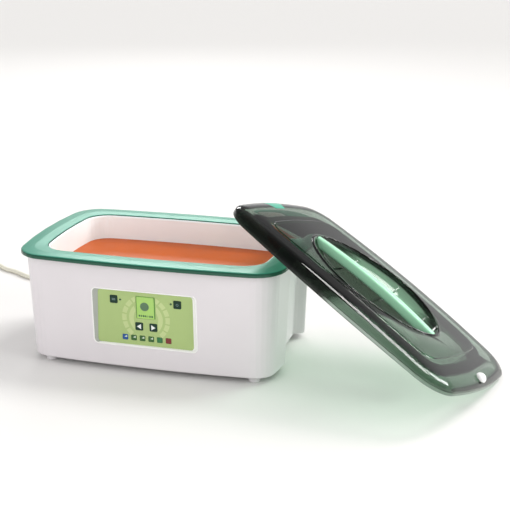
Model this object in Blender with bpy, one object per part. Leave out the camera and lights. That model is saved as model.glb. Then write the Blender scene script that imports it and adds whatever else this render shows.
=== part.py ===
"""Paraffin wax bath for hands and feet, with its lid taken off and leaned on the rim.

Metres, +Z up, every piece at its real size. The bath's long side faces -Y. All pieces hang from one
empty, whose place puts the middle of the arrangement's footprint at the origin.
"""

import math

import bpy
from mathutils import Euler, Vector

# Common clearances
CLEARANCE = 0.0003
CUT_OVERRUN = 0.010
BATH_PLACE = (-0.1404, 0.0257)

# Rim frame
RIM_HALF_LENGTH = 0.200
RIM_HALF_DEPTH = 0.133
RIM_TOP = 0.165
RIM_BAND = 0.0062
RIM_EDGE = 0.0024
RIM_INNER_EDGE = 0.0012
RIM_CROWN = 0.0005
RIM_OVERHANG = 0.0082
FRONT_BOW_RADIUS = 2.15
SIDE_BOW_RADIUS = 0.63
RIM_CORNER_RADIUS = 0.0445
RIM_FLAT_WIDTHS = (0.0336, 0.0318)
OPENING_HALF_LENGTH = RIM_HALF_LENGTH - RIM_FLAT_WIDTHS[0]
OPENING_HALF_DEPTH = RIM_HALF_DEPTH - RIM_FLAT_WIDTHS[1]
OPENING_CORNER_RADIUS = 0.036

# Housing
FOOT_HEIGHT = 0.0082
HOUSING_WALL = 0.0026
HOUSING_DRAFT = math.radians(2.45)
HOUSING_EDGE = 0.0020
BAY_DEPTH = 0.0204
BAY_MIDDLE = 0.015
BAY_END_MARGIN = 0.068
BAY_HALF_WIDTH = RIM_HALF_DEPTH - BAY_END_MARGIN
BAY_RAMP = 0.010
BAY_SKIN = 0.0002
BAY_ROOF = 0.0085
BAY_CORNER_RADIUS = 0.025
LEDGE_CLEARANCE = 0.0008

# Tank and wax
TANK_WALL = 0.0012
TANK_FLANGE = 0.008
TANK_BEAD_WIDTH = 0.0030
TANK_BEAD_DROP = 0.0012
TANK_DRAFT = math.radians(1.6)
TANK_FLOOR = 0.050
TANK_BOTTOM_RADIUS = 0.018
WAX_LEVEL = 0.128

# Heating and insulation
HEATER_THICKNESS = 0.0015
HEATER_MARGIN = 0.006
JACKET_THICKNESS = 0.0020
JACKET_BOTTOM = 0.070
JACKET_TOP = 0.145
CUTOUT_RADIUS = 0.0085
CUTOUT_HEIGHT = 0.008
CUTOUT_PLACE = (0.060, -0.030)
PROBE_RADIUS = 0.0030
PROBE_HEIGHT = 0.012
PROBE_INSET = 0.0664
PROBE_PLACE = (OPENING_HALF_LENGTH - PROBE_INSET, 0.030)

# Base plate, feet and screws
BASE_RECESS = 0.0010
BASE_THICKNESS = 0.0025
FOOT_RADIUS = 0.0085
FOOT_EDGE = 0.0012
FOOT_PEG_RADIUS = 0.0035
FOOT_FROM_SCREW = (0.0138539, 0.00357223)
BOSS_RADIUS = 0.0045
BOSS_HEIGHT = 0.018
BOSS_OVERLAP = 0.0008
SCREW_RADIUS = 0.0015
SCREW_HEAD_RADIUS = 0.0032
SCREW_HEAD_HEIGHT = 0.0020
SCREW_LENGTH = 0.012

# Power electronics
POWER_BOARD_SIZE = (0.100, 0.070)
POWER_BOARD_PLACE = (-0.050, 0.020)
BOARD_THICKNESS = 0.0016
POST_RADIUS = 0.0030
POST_HEIGHT = 0.0050
POST_INSET = 0.006
TRANSFORMER_SIZE = (0.044, 0.038, 0.024)
TRANSFORMER_PLACE = (-0.030, 0.015)
TRANSFORMER_YOKE = 0.007
TERMINAL_SIZE = (0.022, 0.014, 0.012)
TERMINAL_PLACE = (-0.085, 0.043)

# Control panel, in a frame on the face of its film
PANEL_HEIGHT = 0.082
PANEL_RECESS = 0.0040
PANEL_HALF_TOP = 0.0754
PANEL_TAPER = 0.0035
PANEL_HALF_BOTTOM = PANEL_HALF_TOP - PANEL_TAPER
PANEL_HALF_HEIGHT = 0.0405
PANEL_CORNER_RADIUS = 0.006
PANEL_WALL_FLARE = 0.0006
PANEL_LIP = 0.0020
FILM_THICKNESS = 0.0008
FILM_MARGIN = 0.0004
ARTWORK_OFFSET = 0.002
KEY_SIZE = (0.0110, 0.0115)
KEY_CORNER_RADIUS = 0.0012
KEY_PROUD = 0.0006
KEY_TRAVEL = 0.0005
KEY_DEPTH = 0.0062
CORNER_KEY_INSET = 0.0289
CORNER_KEY_SPREAD = PANEL_HALF_TOP - CORNER_KEY_INSET
CORNER_KEY_RISE = 0.026
ARROW_KEY_SPREAD = 0.0104
ARROW_KEY_DROP = 0.0114
LAMP_SIZE = 0.0080
LAMP_PITCH = 0.01275
LAMP_DROP = 0.0292
LAMP_SINK = 0.0001
LAMP_CORNER_RADIUS = 0.0006
LAMP_COUNT = 6
STATUS_LAMP_RADIUS = 0.0014
STATUS_LAMP_STEP = 0.0095
LCD_SIZE = (0.0276, 0.0330)
LCD_RISE = 0.017
LCD_SINK = 0.0003
BOARD_MARGINS = (0.0049, 0.0055)
BOARD_HALF_SIZE = (PANEL_HALF_BOTTOM - BOARD_MARGINS[0], PANEL_HALF_HEIGHT - BOARD_MARGINS[1])
BOARD_SETBACK = 0.0080
BOARD_SCREW_INSET = 0.005
BOARD_SCREW_SPREAD = (BOARD_HALF_SIZE[0] - BOARD_SCREW_INSET, BOARD_HALF_SIZE[1] - BOARD_SCREW_INSET)
BOARD_SCREW_RADIUS = 0.00095
BOARD_SCREW_HEAD_RADIUS = 0.0024
BOARD_SCREW_HEAD_HEIGHT = 0.0015
BOARD_SCREW_BITE = 0.0030
SWITCH_SIZE = 0.006

# Lid, in its own frame: the skirt's bottom edge at height zero, the lower end at +X
LID_OVERHANG = 0.0030
LID_EDGE = 0.0006
LID_SKIRT_WALL = 0.0026
LID_SKIRT_HEIGHT = 0.0065
LID_SEAT = 0.0040
LID_SEAT_WIDTH = 0.0030
LID_SHOULDER_WIDTH = 0.018
LID_SHOULDER_RISE = 0.0066
LID_WALL = 0.0026
LID_CROWN = 0.0060
FIELD_SLOPE = 0.0004
FIELD_INSETS = (0.0525, 0.0405)
FIELD_HALF_LENGTH = RIM_HALF_LENGTH + LID_OVERHANG - FIELD_INSETS[0]
FIELD_HALF_WIDTH = RIM_HALF_DEPTH + LID_OVERHANG - FIELD_INSETS[1]
FIELD_CORNER_RADIUS = 0.030
FIELD_STEP = 0.0013
DISH_INSETS = (0.0399, 0.0090)
DISH_HALF_LENGTH = FIELD_HALF_LENGTH - DISH_INSETS[0]
DISH_HALF_WIDTH = FIELD_HALF_WIDTH - DISH_INSETS[1]
DISH_POWER = 1.8
DISH_DEPTH = 0.024
DISH_LIP = 0.0026
DISH_FLAT_SHARE = 0.12
LOCATING_CLEARANCE = 0.0015
LOCATING_WALL = 0.0025
LOCATING_DROP = 0.0016
GRIP_WIDTH = 0.015
GRIP_HEIGHT = 0.014
GRIP_EDGE = 0.0025
GRIP_RISE = 0.0040
GRIP_TAPER_SHARE = 0.30
DISH_RIB_SHARES = (-0.54, 0.06, 0.65)
DISH_RIB_THICKNESS = 0.0018
DISH_RIB_HEIGHT = 0.0026
DISH_RIB_ROOT = 0.0010
VENT_RADIUS = 0.0078
VENT_HEIGHT = 0.0080
VENT_STEPS = 4
VENT_STEM_RADIUS = 0.0050
VENT_STEM_LENGTH = 0.0060
VENT_INSET = 0.0105
VENT_TILT = math.radians(12)
VENT_SEAT = 0.0010
TAB_LENGTH = 0.022
TAB_END_HALF_WIDTH = 0.025
TAB_INNER_HALF_WIDTH = 0.013
TAB_THICKNESS = 0.0013
TAB_SKIRT_GAP = 0.0020

# How the lid leans: its middle beside the bath, turned and rolled; its slope follows from its contacts
LID_PLACE_SHARES = (1.471, -0.200)
LID_TURN = math.radians(-22.0)
LID_ROLL = math.radians(-15.5)
LID_LEAN_LIMITS = (math.radians(12), math.radians(50))

# Supply cord
CORD_DIAMETER = 0.007
CORD_POINT_STEP = 2.4 * CORD_DIAMETER
CORD_EXIT_INSET = 0.070
CORD_EXIT_HEIGHT = 0.030
CORD_EXIT = (CORD_EXIT_INSET - RIM_HALF_LENGTH, CORD_EXIT_HEIGHT)
RELIEF_FLANGE_RADIUS = 0.0080
RELIEF_FLANGE_THICKNESS = 0.0022
RELIEF_STANDOFF = 0.0008
RELIEF_NECK_RADIUS = 0.0060
RELIEF_NECK_LENGTH = 0.0075
RELIEF_ROOT_RADIUS = 0.0062
RELIEF_TIP_RADIUS = 0.0046
RELIEF_LENGTH = 0.034
COIL_CENTRE = (-0.500, 0.250)
COIL_OUTER_RADIUS = 0.048
COIL_PITCH = 1.09 * CORD_DIAMETER
COIL_LAYER_STEP = 1.08 * CORD_DIAMETER
COIL_TURNS = 5.25
COIL_START_TURN = 0.25
COIL_POINTS_PER_TURN = 24
PLUG_HALF_WIDTH = 0.017
PLUG_HALF_HEIGHT = 0.013
PLUG_LENGTH = 0.040
PLUG_TAIL = 0.010
PLUG_PIN_RADIUS = 0.0024
PLUG_PIN_LENGTH = 0.019
PLUG_PIN_SPREAD = 0.0095

# Steps of the curved outlines
BATH_STEPS = (2, 6, 3)
LID_STEPS = (3, 6, 6)
CONTACT_STEPS = (20, 24, 32)
FILLET_STEPS = 3
LID_ARC_STEPS = 4
GRIP_STATIONS = 5
HALVINGS = 24
CORNERS = ((-1, -1), (1, -1), (1, 1), (-1, 1))
BATH_CORNERS = ("front_left", "front_right", "rear_right", "rear_left")
PANEL_CORNERS = ("lower_left", "lower_right", "upper_right", "upper_left")

# Pieces with no curved face
FLAT_PIECES = ("panel_film", "control_board", "power_board", "terminal_block", "lid_tab")

COLOURS = {
    "housing_white": ((0.74, 0.71, 0.73), 0.35, 0.0),
    "rim_green": ((0.10, 0.38, 0.27), 0.25, 0.0),
    "tank_enamel": ((0.88, 0.86, 0.87), 0.3, 0.0),
    "wax_orange": ((0.72, 0.16, 0.03), 0.15, 0.0),
    "base_grey": ((0.60, 0.60, 0.60), 0.5, 0.0),
    "foot_rubber": ((0.70, 0.68, 0.68), 0.7, 0.0),
    "heater_red": ((0.45, 0.10, 0.06), 0.6, 0.0),
    "jacket_felt": ((0.75, 0.73, 0.65), 0.9, 0.0),
    "steel": ((0.60, 0.60, 0.62), 0.3, 1.0),
    "board_green": ((0.04, 0.22, 0.08), 0.5, 0.0),
    "core_grey": ((0.22, 0.22, 0.24), 0.5, 0.6),
    "film_green": ((0.42, 0.56, 0.22), 0.35, 0.0),
    "lcd_green": ((0.30, 0.68, 0.14), 0.15, 0.0),
    "key_dark": ((0.02, 0.05, 0.03), 0.4, 0.0),
    "lamp_blue": ((0.03, 0.15, 0.60), 0.3, 0.0),
    "lamp_green": ((0.03, 0.20, 0.08), 0.3, 0.0),
    "lamp_red": ((0.28, 0.02, 0.02), 0.3, 0.0),
    "lid_smoke": ((0.16, 0.20, 0.17), 0.08, 0.0),
    "grip_mint": ((0.30, 0.62, 0.40), 0.12, 0.0),
    "vent_white": ((0.85, 0.85, 0.85), 0.4, 0.0),
    "cord_cream": ((0.82, 0.79, 0.62), 0.45, 0.0),
}


def clear_scene():
    for thing in list(bpy.data.objects):
        bpy.data.objects.remove(thing, do_unlink=True)


def material(name):
    found = bpy.data.materials.get(name)
    if found:
        return found
    colour, roughness, metallic = COLOURS[name]
    made = bpy.data.materials.new(name)
    made.use_nodes = True
    shader = made.node_tree.nodes["Principled BSDF"]
    shader.inputs["Base Color"].default_value = (*colour, 1)
    shader.inputs["Roughness"].default_value = roughness
    shader.inputs["Metallic"].default_value = metallic
    return made


def frame_empty(name, parent=None, location=(0, 0, 0), rotation=(0, 0, 0)):
    empty = bpy.data.objects.new(name, None)
    bpy.context.scene.collection.objects.link(empty)
    empty.location = location
    empty.rotation_euler = rotation
    empty.parent = parent
    return empty


def solid(name, shape, finish, parent, location=(0, 0, 0), rotation=(0, 0, 0)):
    """One object from (vertices, faces), shaded smooth where it is round."""
    vertices, faces = shape
    mesh = bpy.data.meshes.new(name)
    mesh.from_pydata([tuple(v) for v in vertices], [], faces)
    mesh.update()
    if name not in FLAT_PIECES:
        mesh.shade_smooth()
        mesh.set_sharp_from_angle(angle=math.radians(35))
    made = bpy.data.objects.new(name, mesh)
    bpy.context.scene.collection.objects.link(made)
    if finish:
        mesh.materials.append(material(finish))
    made.parent = parent
    made.location = location
    made.rotation_euler = rotation
    return made


def helper(name, shape, parent, location=(0, 0, 0), rotation=(0, 0, 0)):
    """A shape that only cuts or joins others: it is no piece of the object."""
    made = solid(name, shape, None, parent, location, rotation)
    made.hide_render = True
    made.display_type = "WIRE"
    return made


def combine(target, other, operation):
    modifier = target.modifiers.new(other.name, "BOOLEAN")
    modifier.object = other
    modifier.operation = operation
    modifier.solver = "EXACT"


def joined(shapes):
    """Several closed shapes as one list of vertices and faces."""
    vertices = []
    faces = []
    for more_vertices, more_faces in shapes:
        start = len(vertices)
        vertices += more_vertices
        faces += [[start + index for index in face] for face in more_faces]
    return vertices, faces


def signed_volume(vertices, faces):
    total = 0
    for face in faces:
        first = vertices[face[0]]
        for second, third in zip(face[1:], face[2:]):
            total += first.dot(vertices[second].cross(vertices[third]))
    return total / 6


def loft(rings, ends="caps"):
    """A skin over rings with equally many points. Its ends are capped, or the last ring meets the first."""
    count = len(rings[0])
    vertices = [Vector(point) for ring in rings for point in ring]
    faces = []
    spans = len(rings) if ends == "loop" else len(rings) - 1
    for span in range(spans):
        low = span * count
        high = (span + 1) % len(rings) * count
        for step in range(count):
            after = (step + 1) % count
            faces.append([low + step, low + after, high + after, high + step])
    if ends == "caps":
        faces.append(list(range(count))[::-1])
        faces.append([(len(rings) - 1) * count + step for step in range(count)])
    if signed_volume(vertices, faces) < 0:
        faces = [face[::-1] for face in faces]
    return vertices, faces


def at_height(outline, height):
    return [(x, y, height) for x, y in outline]


def blended(first, second, share):
    return [
        (ax + (bx - ax) * share, ay + (by - ay) * share)
        for (ax, ay), (bx, by) in zip(first, second)
    ]


def turned(profile, steps):
    """A solid of revolution about Z from (radius, height) pairs."""
    rings = []
    for radius, height in profile:
        turn = [math.tau * step / steps for step in range(steps)]
        rings.append([(radius * math.cos(a), radius * math.sin(a), height) for a in turn])
    return loft(rings)


def shifted(shape, offset):
    vertices, faces = shape
    return [Vector(v) + Vector(offset) for v in vertices], faces


def rounded_rectangle(half_width, half_height, radius, steps=3):
    points = []
    for quarter, (sx, sy) in enumerate(((1, 1), (-1, 1), (-1, -1), (1, -1))):
        for step in range(steps + 1):
            angle = math.radians(90) * (quarter + step / steps)
            x = sx * (half_width - radius) + radius * math.cos(angle)
            y = sy * (half_height - radius) + radius * math.sin(angle)
            points.append((x, y))
    return points


def block(half_width, half_depth, radius, bottom, top, steps=2):
    outline = rounded_rectangle(half_width, half_depth, radius, steps)
    return loft([at_height(outline, bottom), at_height(outline, top)])


def bowed_outline(half_x, half_y, bow_y, bow_x, corner, steps):
    """A rounded rectangle whose four sides bow outwards, as arcs that meet their corner arcs smoothly."""
    side_steps, corner_steps, front_steps = steps
    front_centre = Vector((0, half_y - bow_y))
    side_centre = Vector((half_x - bow_x, 0))
    front_reach = bow_y - corner
    side_reach = bow_x - corner
    between = side_centre - front_centre
    along = (front_reach**2 - side_reach**2 + between.length**2) / (2 * between.length)
    across = math.sqrt(max(front_reach**2 - along**2, 0))
    unit = between.normalized()
    corner_centre = front_centre + unit * along + Vector((unit.y, -unit.x)) * across
    to_side = corner_centre - side_centre
    to_front = corner_centre - front_centre
    first = math.atan2(to_side.y, to_side.x)
    second = math.atan2(to_front.y, to_front.x)
    quarter = []
    for step in range(side_steps):
        angle = first * step / side_steps
        quarter.append(side_centre + bow_x * Vector((math.cos(angle), math.sin(angle))))
    for step in range(corner_steps):
        angle = first + (second - first) * step / corner_steps
        quarter.append(corner_centre + corner * Vector((math.cos(angle), math.sin(angle))))
    for step in range(front_steps + 1):
        angle = second + (math.radians(90) - second) * step / front_steps
        quarter.append(front_centre + bow_y * Vector((math.cos(angle), math.sin(angle))))
    points = [(p.x, p.y) for p in quarter]
    points += [(-p.x, p.y) for p in reversed(quarter[:-1])]
    points += [(-p.x, -p.y) for p in quarter[1:]]
    points += [(p.x, -p.y) for p in reversed(quarter[1:-1])]
    return points


def bath_outline(inset, steps=BATH_STEPS):
    """The rim's outer outline, moved inwards all round."""
    return bowed_outline(
        RIM_HALF_LENGTH - inset,
        RIM_HALF_DEPTH - inset,
        FRONT_BOW_RADIUS - inset,
        SIDE_BOW_RADIUS - inset,
        RIM_CORNER_RADIUS - inset,
        steps,
    )


def opening_outline(inset, steps=BATH_STEPS):
    """The rim's inner outline, moved inwards all round."""
    return bowed_outline(
        OPENING_HALF_LENGTH - inset,
        OPENING_HALF_DEPTH - inset,
        FRONT_BOW_RADIUS - inset,
        SIDE_BOW_RADIUS - inset,
        OPENING_CORNER_RADIUS - inset,
        steps,
    )


# Heights that several pieces share
RIM_BOTTOM = RIM_TOP - RIM_BAND
HOUSING_TOP = RIM_BOTTOM - CLEARANCE
FLANGE_TOP = RIM_BOTTOM + TANK_WALL
TANK_BEAD_TOP = RIM_TOP - TANK_BEAD_DROP
BASE_BOTTOM = FOOT_HEIGHT + BASE_RECESS
BASE_TOP = BASE_BOTTOM + BASE_THICKNESS
HEATER_TOP = TANK_FLOOR - TANK_WALL - CLEARANCE


def housing_inset(height):
    return RIM_OVERHANG + (HOUSING_TOP - height) * math.tan(HOUSING_DRAFT)


def tank_inset(height):
    """How far the tank's inner wall lies inside the opening at this height."""
    return TANK_BEAD_WIDTH + (TANK_BEAD_TOP - height) * math.tan(TANK_DRAFT)


def housing_half_length(height):
    return RIM_HALF_LENGTH - housing_inset(height)


def rear_wall(x, height):
    """Where the housing's rear wall stands behind this point of its length."""
    inset = housing_inset(height)
    bow = FRONT_BOW_RADIUS - inset
    return RIM_HALF_DEPTH - inset - bow + math.sqrt(bow**2 - x**2)


def corner_point(inset):
    """The middle of the corner arc in the quarter where both coordinates are positive."""
    side_steps, corner_steps, _ = BATH_STEPS
    points = bath_outline(inset)
    middle = side_steps + corner_steps / 2
    low = Vector(points[math.floor(middle)])
    high = Vector(points[math.ceil(middle)])
    return (low + high) / 2


def bay_shape(side, grown):
    """What a hand-grip bay takes out of the housing on one short side, grown by a wall for the hollow."""
    floor_level = -CUT_OVERRUN
    roof = HOUSING_TOP - BAY_ROOF + grown
    spring = roof - BAY_CORNER_RADIUS
    levels = [floor_level, spring]
    narrowings = [0, 0]
    for step in range(1, FILLET_STEPS + 1):
        angle = math.radians(90) * step / FILLET_STEPS
        levels.append(spring + BAY_CORNER_RADIUS * math.sin(angle))
        narrowings.append(BAY_CORNER_RADIUS * (1 - math.cos(angle)))
    wide = BAY_HALF_WIDTH + grown
    samples = 6
    rings = []
    for level, narrowing in zip(levels, narrowings):
        half = wide - narrowing
        outer = housing_half_length(level)
        wall = outer - BAY_DEPTH - grown
        bow = SIDE_BOW_RADIUS - housing_inset(level)
        ring = [(side * (outer + CUT_OVERRUN), BAY_MIDDLE - half)]
        for end in (-1, 1):
            for step in range(samples + 1):
                share = step / samples if end < 0 else 1 - step / samples
                y = BAY_MIDDLE + end * (half - BAY_RAMP * share)
                surface = outer - bow + math.sqrt(bow**2 - y**2) + BAY_SKIN
                ramp = 0.5 - 0.5 * math.cos(math.pi * share)
                ring.append((side * (surface + (wall - surface) * ramp), y))
        ring.append((side * (outer + CUT_OVERRUN), BAY_MIDDLE + half))
        rings.append(at_height(ring, level))
    return loft(rings)


def bays(grown):
    return joined([bay_shape(1, grown), bay_shape(-1, grown)])


def panel_outline(grown):
    """The panel's recess: a little wider at its top, with rounded corners."""
    points = []
    radius = PANEL_CORNER_RADIUS + grown
    lean = (PANEL_HALF_TOP - PANEL_HALF_BOTTOM) / (2 * PANEL_HALF_HEIGHT)
    middle = (PANEL_HALF_TOP + PANEL_HALF_BOTTOM) / 2
    outline = rounded_rectangle(middle + grown, PANEL_HALF_HEIGHT + grown, radius, FILLET_STEPS)
    for x, y in outline:
        points.append((x + math.copysign(lean * y, x), y))
    return points


def panel_cut(grown, floor_level):
    """The recess as a cutter, with a flared lip where it meets the housing's face."""
    outside = PANEL_RECESS + CUT_OVERRUN
    flare = PANEL_WALL_FLARE + outside - PANEL_LIP
    return loft(
        [
            at_height(panel_outline(grown), floor_level),
            at_height(panel_outline(grown + PANEL_WALL_FLARE), PANEL_LIP),
            at_height(panel_outline(grown + flare), outside),
        ]
    )


SEAT_LEVEL = -FILM_THICKNESS - CLEARANCE
FLOOR_BACK = SEAT_LEVEL - HOUSING_WALL
BOARD_FRONT = -BOARD_SETBACK


def key_places():
    return {
        "key_set": (ARTWORK_OFFSET - CORNER_KEY_SPREAD, CORNER_KEY_RISE),
        "key_power": (ARTWORK_OFFSET + CORNER_KEY_SPREAD, CORNER_KEY_RISE),
        "key_arrow_left": (ARTWORK_OFFSET - ARROW_KEY_SPREAD, -ARROW_KEY_DROP),
        "key_arrow_right": (ARTWORK_OFFSET + ARROW_KEY_SPREAD, -ARROW_KEY_DROP),
    }


def mode_lamp_places():
    first = ARTWORK_OFFSET - LAMP_PITCH * (LAMP_COUNT - 1) / 2
    return [(first + LAMP_PITCH * number, -LAMP_DROP) for number in range(LAMP_COUNT)]


def status_lamp_places():
    reach = CORNER_KEY_SPREAD - STATUS_LAMP_STEP
    return {
        "status_lamp_left": (ARTWORK_OFFSET - reach, CORNER_KEY_RISE),
        "status_lamp_right": (ARTWORK_OFFSET + reach, CORNER_KEY_RISE),
    }


def corner_places(names, half_x, half_y, middle=(0, 0)):
    places = {}
    for name, (sx, sy) in zip(names, CORNERS):
        places[name] = (middle[0] + sx * half_x, middle[1] + sy * half_y)
    return places


def board_screw_places():
    return corner_places(PANEL_CORNERS, *BOARD_SCREW_SPREAD)


def panel_windows():
    """Every hole through the film and the wall behind it, each a clearance larger than what fills it."""
    back = FLOOR_BACK - CUT_OVERRUN
    front = CUT_OVERRUN
    shapes = []
    for x, y in key_places().values():
        half_x = KEY_SIZE[0] / 2 + CLEARANCE
        half_y = KEY_SIZE[1] / 2 + CLEARANCE
        radius = KEY_CORNER_RADIUS + CLEARANCE
        shapes.append(shifted(block(half_x, half_y, radius, back, front), (x, y, 0)))
    for x, y in mode_lamp_places():
        half = LAMP_SIZE / 2 + CLEARANCE
        radius = LAMP_CORNER_RADIUS + CLEARANCE
        shapes.append(shifted(block(half, half, radius, back, front, 1), (x, y, 0)))
    for x, y in status_lamp_places().values():
        radius = STATUS_LAMP_RADIUS + CLEARANCE
        shapes.append(shifted(turned([(radius, back), (radius, front)], 10), (x, y, 0)))
    half_x = LCD_SIZE[0] / 2 + CLEARANCE
    half_y = LCD_SIZE[1] / 2 + CLEARANCE
    lcd = block(half_x, half_y, LAMP_CORNER_RADIUS + CLEARANCE, back, front, 1)
    shapes.append(shifted(lcd, (ARTWORK_OFFSET, LCD_RISE, 0)))
    return joined(shapes)


def rim_frame(bath):
    edge_share = 1 - math.cos(math.radians(45))
    middle = blended(bath_outline(RIM_EDGE), opening_outline(-RIM_INNER_EDGE), 0.5)
    recess = FLANGE_TOP + CLEARANCE
    pocket = opening_outline(-TANK_FLANGE - CLEARANCE)
    inner_share = RIM_INNER_EDGE * edge_share
    rings = [
        at_height(bath_outline(RIM_INNER_EDGE / 2), RIM_BOTTOM),
        at_height(bath_outline(0), RIM_BOTTOM + RIM_INNER_EDGE / 2),
        at_height(bath_outline(0), RIM_TOP - RIM_EDGE),
        at_height(bath_outline(RIM_EDGE * edge_share), RIM_TOP - RIM_EDGE * edge_share),
        at_height(bath_outline(RIM_EDGE), RIM_TOP),
        at_height(middle, RIM_TOP + RIM_CROWN),
        at_height(opening_outline(-RIM_INNER_EDGE), RIM_TOP),
        at_height(opening_outline(-inner_share), RIM_TOP - inner_share),
        at_height(opening_outline(0), RIM_TOP - RIM_INNER_EDGE),
        at_height(opening_outline(0), recess),
        at_height(pocket, recess),
        at_height(pocket, RIM_BOTTOM),
    ]
    return solid("rim_frame", loft(rings, "loop"), "rim_green", bath)


def housing(bath, panel):
    bottom = FOOT_HEIGHT
    edge = HOUSING_EDGE
    top_edge = HOUSING_TOP - edge / 2
    outside = [
        at_height(bath_outline(housing_inset(bottom) + edge), bottom),
        at_height(bath_outline(housing_inset(bottom + edge)), bottom + edge),
        at_height(bath_outline(housing_inset(top_edge)), top_edge),
        at_height(bath_outline(housing_inset(HOUSING_TOP) + edge / 2), HOUSING_TOP),
    ]
    made = solid("housing", loft(outside), "housing_white", bath)
    below = bottom - CUT_OVERRUN
    ceiling = HOUSING_TOP - HOUSING_WALL
    inside = [
        at_height(bath_outline(housing_inset(below) + HOUSING_WALL), below),
        at_height(bath_outline(housing_inset(ceiling) + HOUSING_WALL), ceiling),
    ]
    cavity = helper("cavity", loft(inside), bath)
    panel_shell = helper("panel_shell", panel_cut(HOUSING_WALL, FLOOR_BACK), panel)
    combine(cavity, helper("bay_shells", bays(HOUSING_WALL), bath), "DIFFERENCE")
    combine(cavity, panel_shell, "DIFFERENCE")
    hole = opening_outline(tank_inset(HOUSING_TOP) - TANK_WALL - LEDGE_CLEARANCE)
    mouth = loft([at_height(hole, ceiling - CUT_OVERRUN), at_height(hole, HOUSING_TOP + CUT_OVERRUN)])
    combine(made, helper("bay_cuts", bays(0), bath), "DIFFERENCE")
    combine(made, helper("panel_recess", panel_cut(0, SEAT_LEVEL), panel), "DIFFERENCE")
    combine(made, cavity, "DIFFERENCE")
    combine(made, helper("tank_mouth", mouth, bath), "DIFFERENCE")
    combine(made, helper("base_bosses", base_bosses(), bath), "UNION")
    combine(made, helper("board_bosses", board_bosses(), panel), "UNION")
    combine(made, helper("base_bores", base_bores(), bath), "DIFFERENCE")
    combine(made, helper("board_bores", board_bores(), panel), "DIFFERENCE")
    combine(made, bpy.data.objects["panel_windows"], "DIFFERENCE")
    combine(made, helper("cord_hole", cord_hole(), bath), "DIFFERENCE")
    return made


def base_screw_places():
    inset = housing_inset(BASE_TOP) + HOUSING_WALL + BOSS_RADIUS - BOSS_OVERLAP
    return corner_places(BATH_CORNERS, *corner_point(inset))


def base_bosses():
    low = BASE_TOP + CLEARANCE
    profile = [(BOSS_RADIUS, low), (BOSS_RADIUS, low + BOSS_HEIGHT)]
    return joined([shifted(turned(profile, 12), (x, y, 0)) for x, y in base_screw_places().values()])


def base_bores():
    radius = SCREW_RADIUS + CLEARANCE
    low = BASE_TOP - CUT_OVERRUN / 2
    profile = [(radius, low), (radius, BASE_BOTTOM + SCREW_LENGTH + 2 * CLEARANCE)]
    return joined([shifted(turned(profile, 10), (x, y, 0)) for x, y in base_screw_places().values()])


def board_bosses():
    bite = HOUSING_WALL / 2
    profile = [(POST_RADIUS, BOARD_FRONT + CLEARANCE), (POST_RADIUS, FLOOR_BACK + bite)]
    return joined([shifted(turned(profile, 12), (x, y, 0)) for x, y in board_screw_places().values()])


def board_bores():
    radius = BOARD_SCREW_RADIUS + CLEARANCE
    deep = BOARD_FRONT + BOARD_SCREW_BITE + 2 * CLEARANCE
    profile = [(radius, BOARD_FRONT - CUT_OVERRUN / 2), (radius, deep)]
    return joined([shifted(turned(profile, 10), (x, y, 0)) for x, y in board_screw_places().values()])


def cord_hole():
    x, height = CORD_EXIT
    radius = RELIEF_NECK_RADIUS + CLEARANCE
    wall = rear_wall(x, height)
    rings = []
    for along in (wall - CUT_OVERRUN, wall + CUT_OVERRUN):
        turn = [math.tau * step / 16 for step in range(16)]
        rings.append([(x + radius * math.cos(a), along, height + radius * math.sin(a)) for a in turn])
    return loft(rings)


def base_plate(bath):
    rings = []
    for height in (BASE_BOTTOM, BASE_TOP):
        rings.append(at_height(bath_outline(housing_inset(height) + HOUSING_WALL + CLEARANCE), height))
    made = solid("base_plate", loft(rings), "base_grey", bath)
    bay_walls = helper("base_bay_cuts", bays(HOUSING_WALL + CLEARANCE), bath)
    combine(made, bay_walls, "DIFFERENCE")
    posts = []
    middle = (BASE_BOTTOM + BASE_TOP) / 2
    for x, y in power_board_corners().values():
        profile = [(POST_RADIUS, middle), (POST_RADIUS, BASE_TOP + POST_HEIGHT)]
        posts.append(shifted(turned(profile, 12), (x, y, 0)))
    combine(made, helper("board_posts", joined(posts), bath), "UNION")
    holes = []
    low = BASE_BOTTOM - CUT_OVERRUN / 2
    high = BASE_TOP + CUT_OVERRUN / 2
    for x, y in foot_places().values():
        radius = FOOT_PEG_RADIUS + CLEARANCE
        holes.append(shifted(turned([(radius, low), (radius, high)], 14), (x, y, 0)))
    for x, y in base_screw_places().values():
        radius = SCREW_RADIUS + CLEARANCE
        holes.append(shifted(turned([(radius, low), (radius, high)], 10), (x, y, 0)))
    combine(made, helper("base_holes", joined(holes), bath), "DIFFERENCE")
    return made


def power_board_corners():
    half_x = POWER_BOARD_SIZE[0] / 2 - POST_INSET
    half_y = POWER_BOARD_SIZE[1] / 2 - POST_INSET
    return corner_places(BATH_CORNERS, half_x, half_y, POWER_BOARD_PLACE)


def foot_places():
    x, y = base_screw_places()["rear_right"]
    return corner_places(BATH_CORNERS, x - FOOT_FROM_SCREW[0], y - FOOT_FROM_SCREW[1])


def feet(bath):
    top = BASE_BOTTOM - CLEARANCE
    profile = [
        (FOOT_RADIUS - FOOT_EDGE, 0),
        (FOOT_RADIUS, FOOT_EDGE),
        (FOOT_RADIUS, top),
        (FOOT_PEG_RADIUS, top),
        (FOOT_PEG_RADIUS, BASE_TOP),
        (FOOT_PEG_RADIUS - FOOT_EDGE / 2, BASE_TOP + FOOT_EDGE),
    ]
    for name, (x, y) in foot_places().items():
        solid("foot_" + name, turned(profile, 14), "foot_rubber", bath, (x, y, 0))


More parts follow.
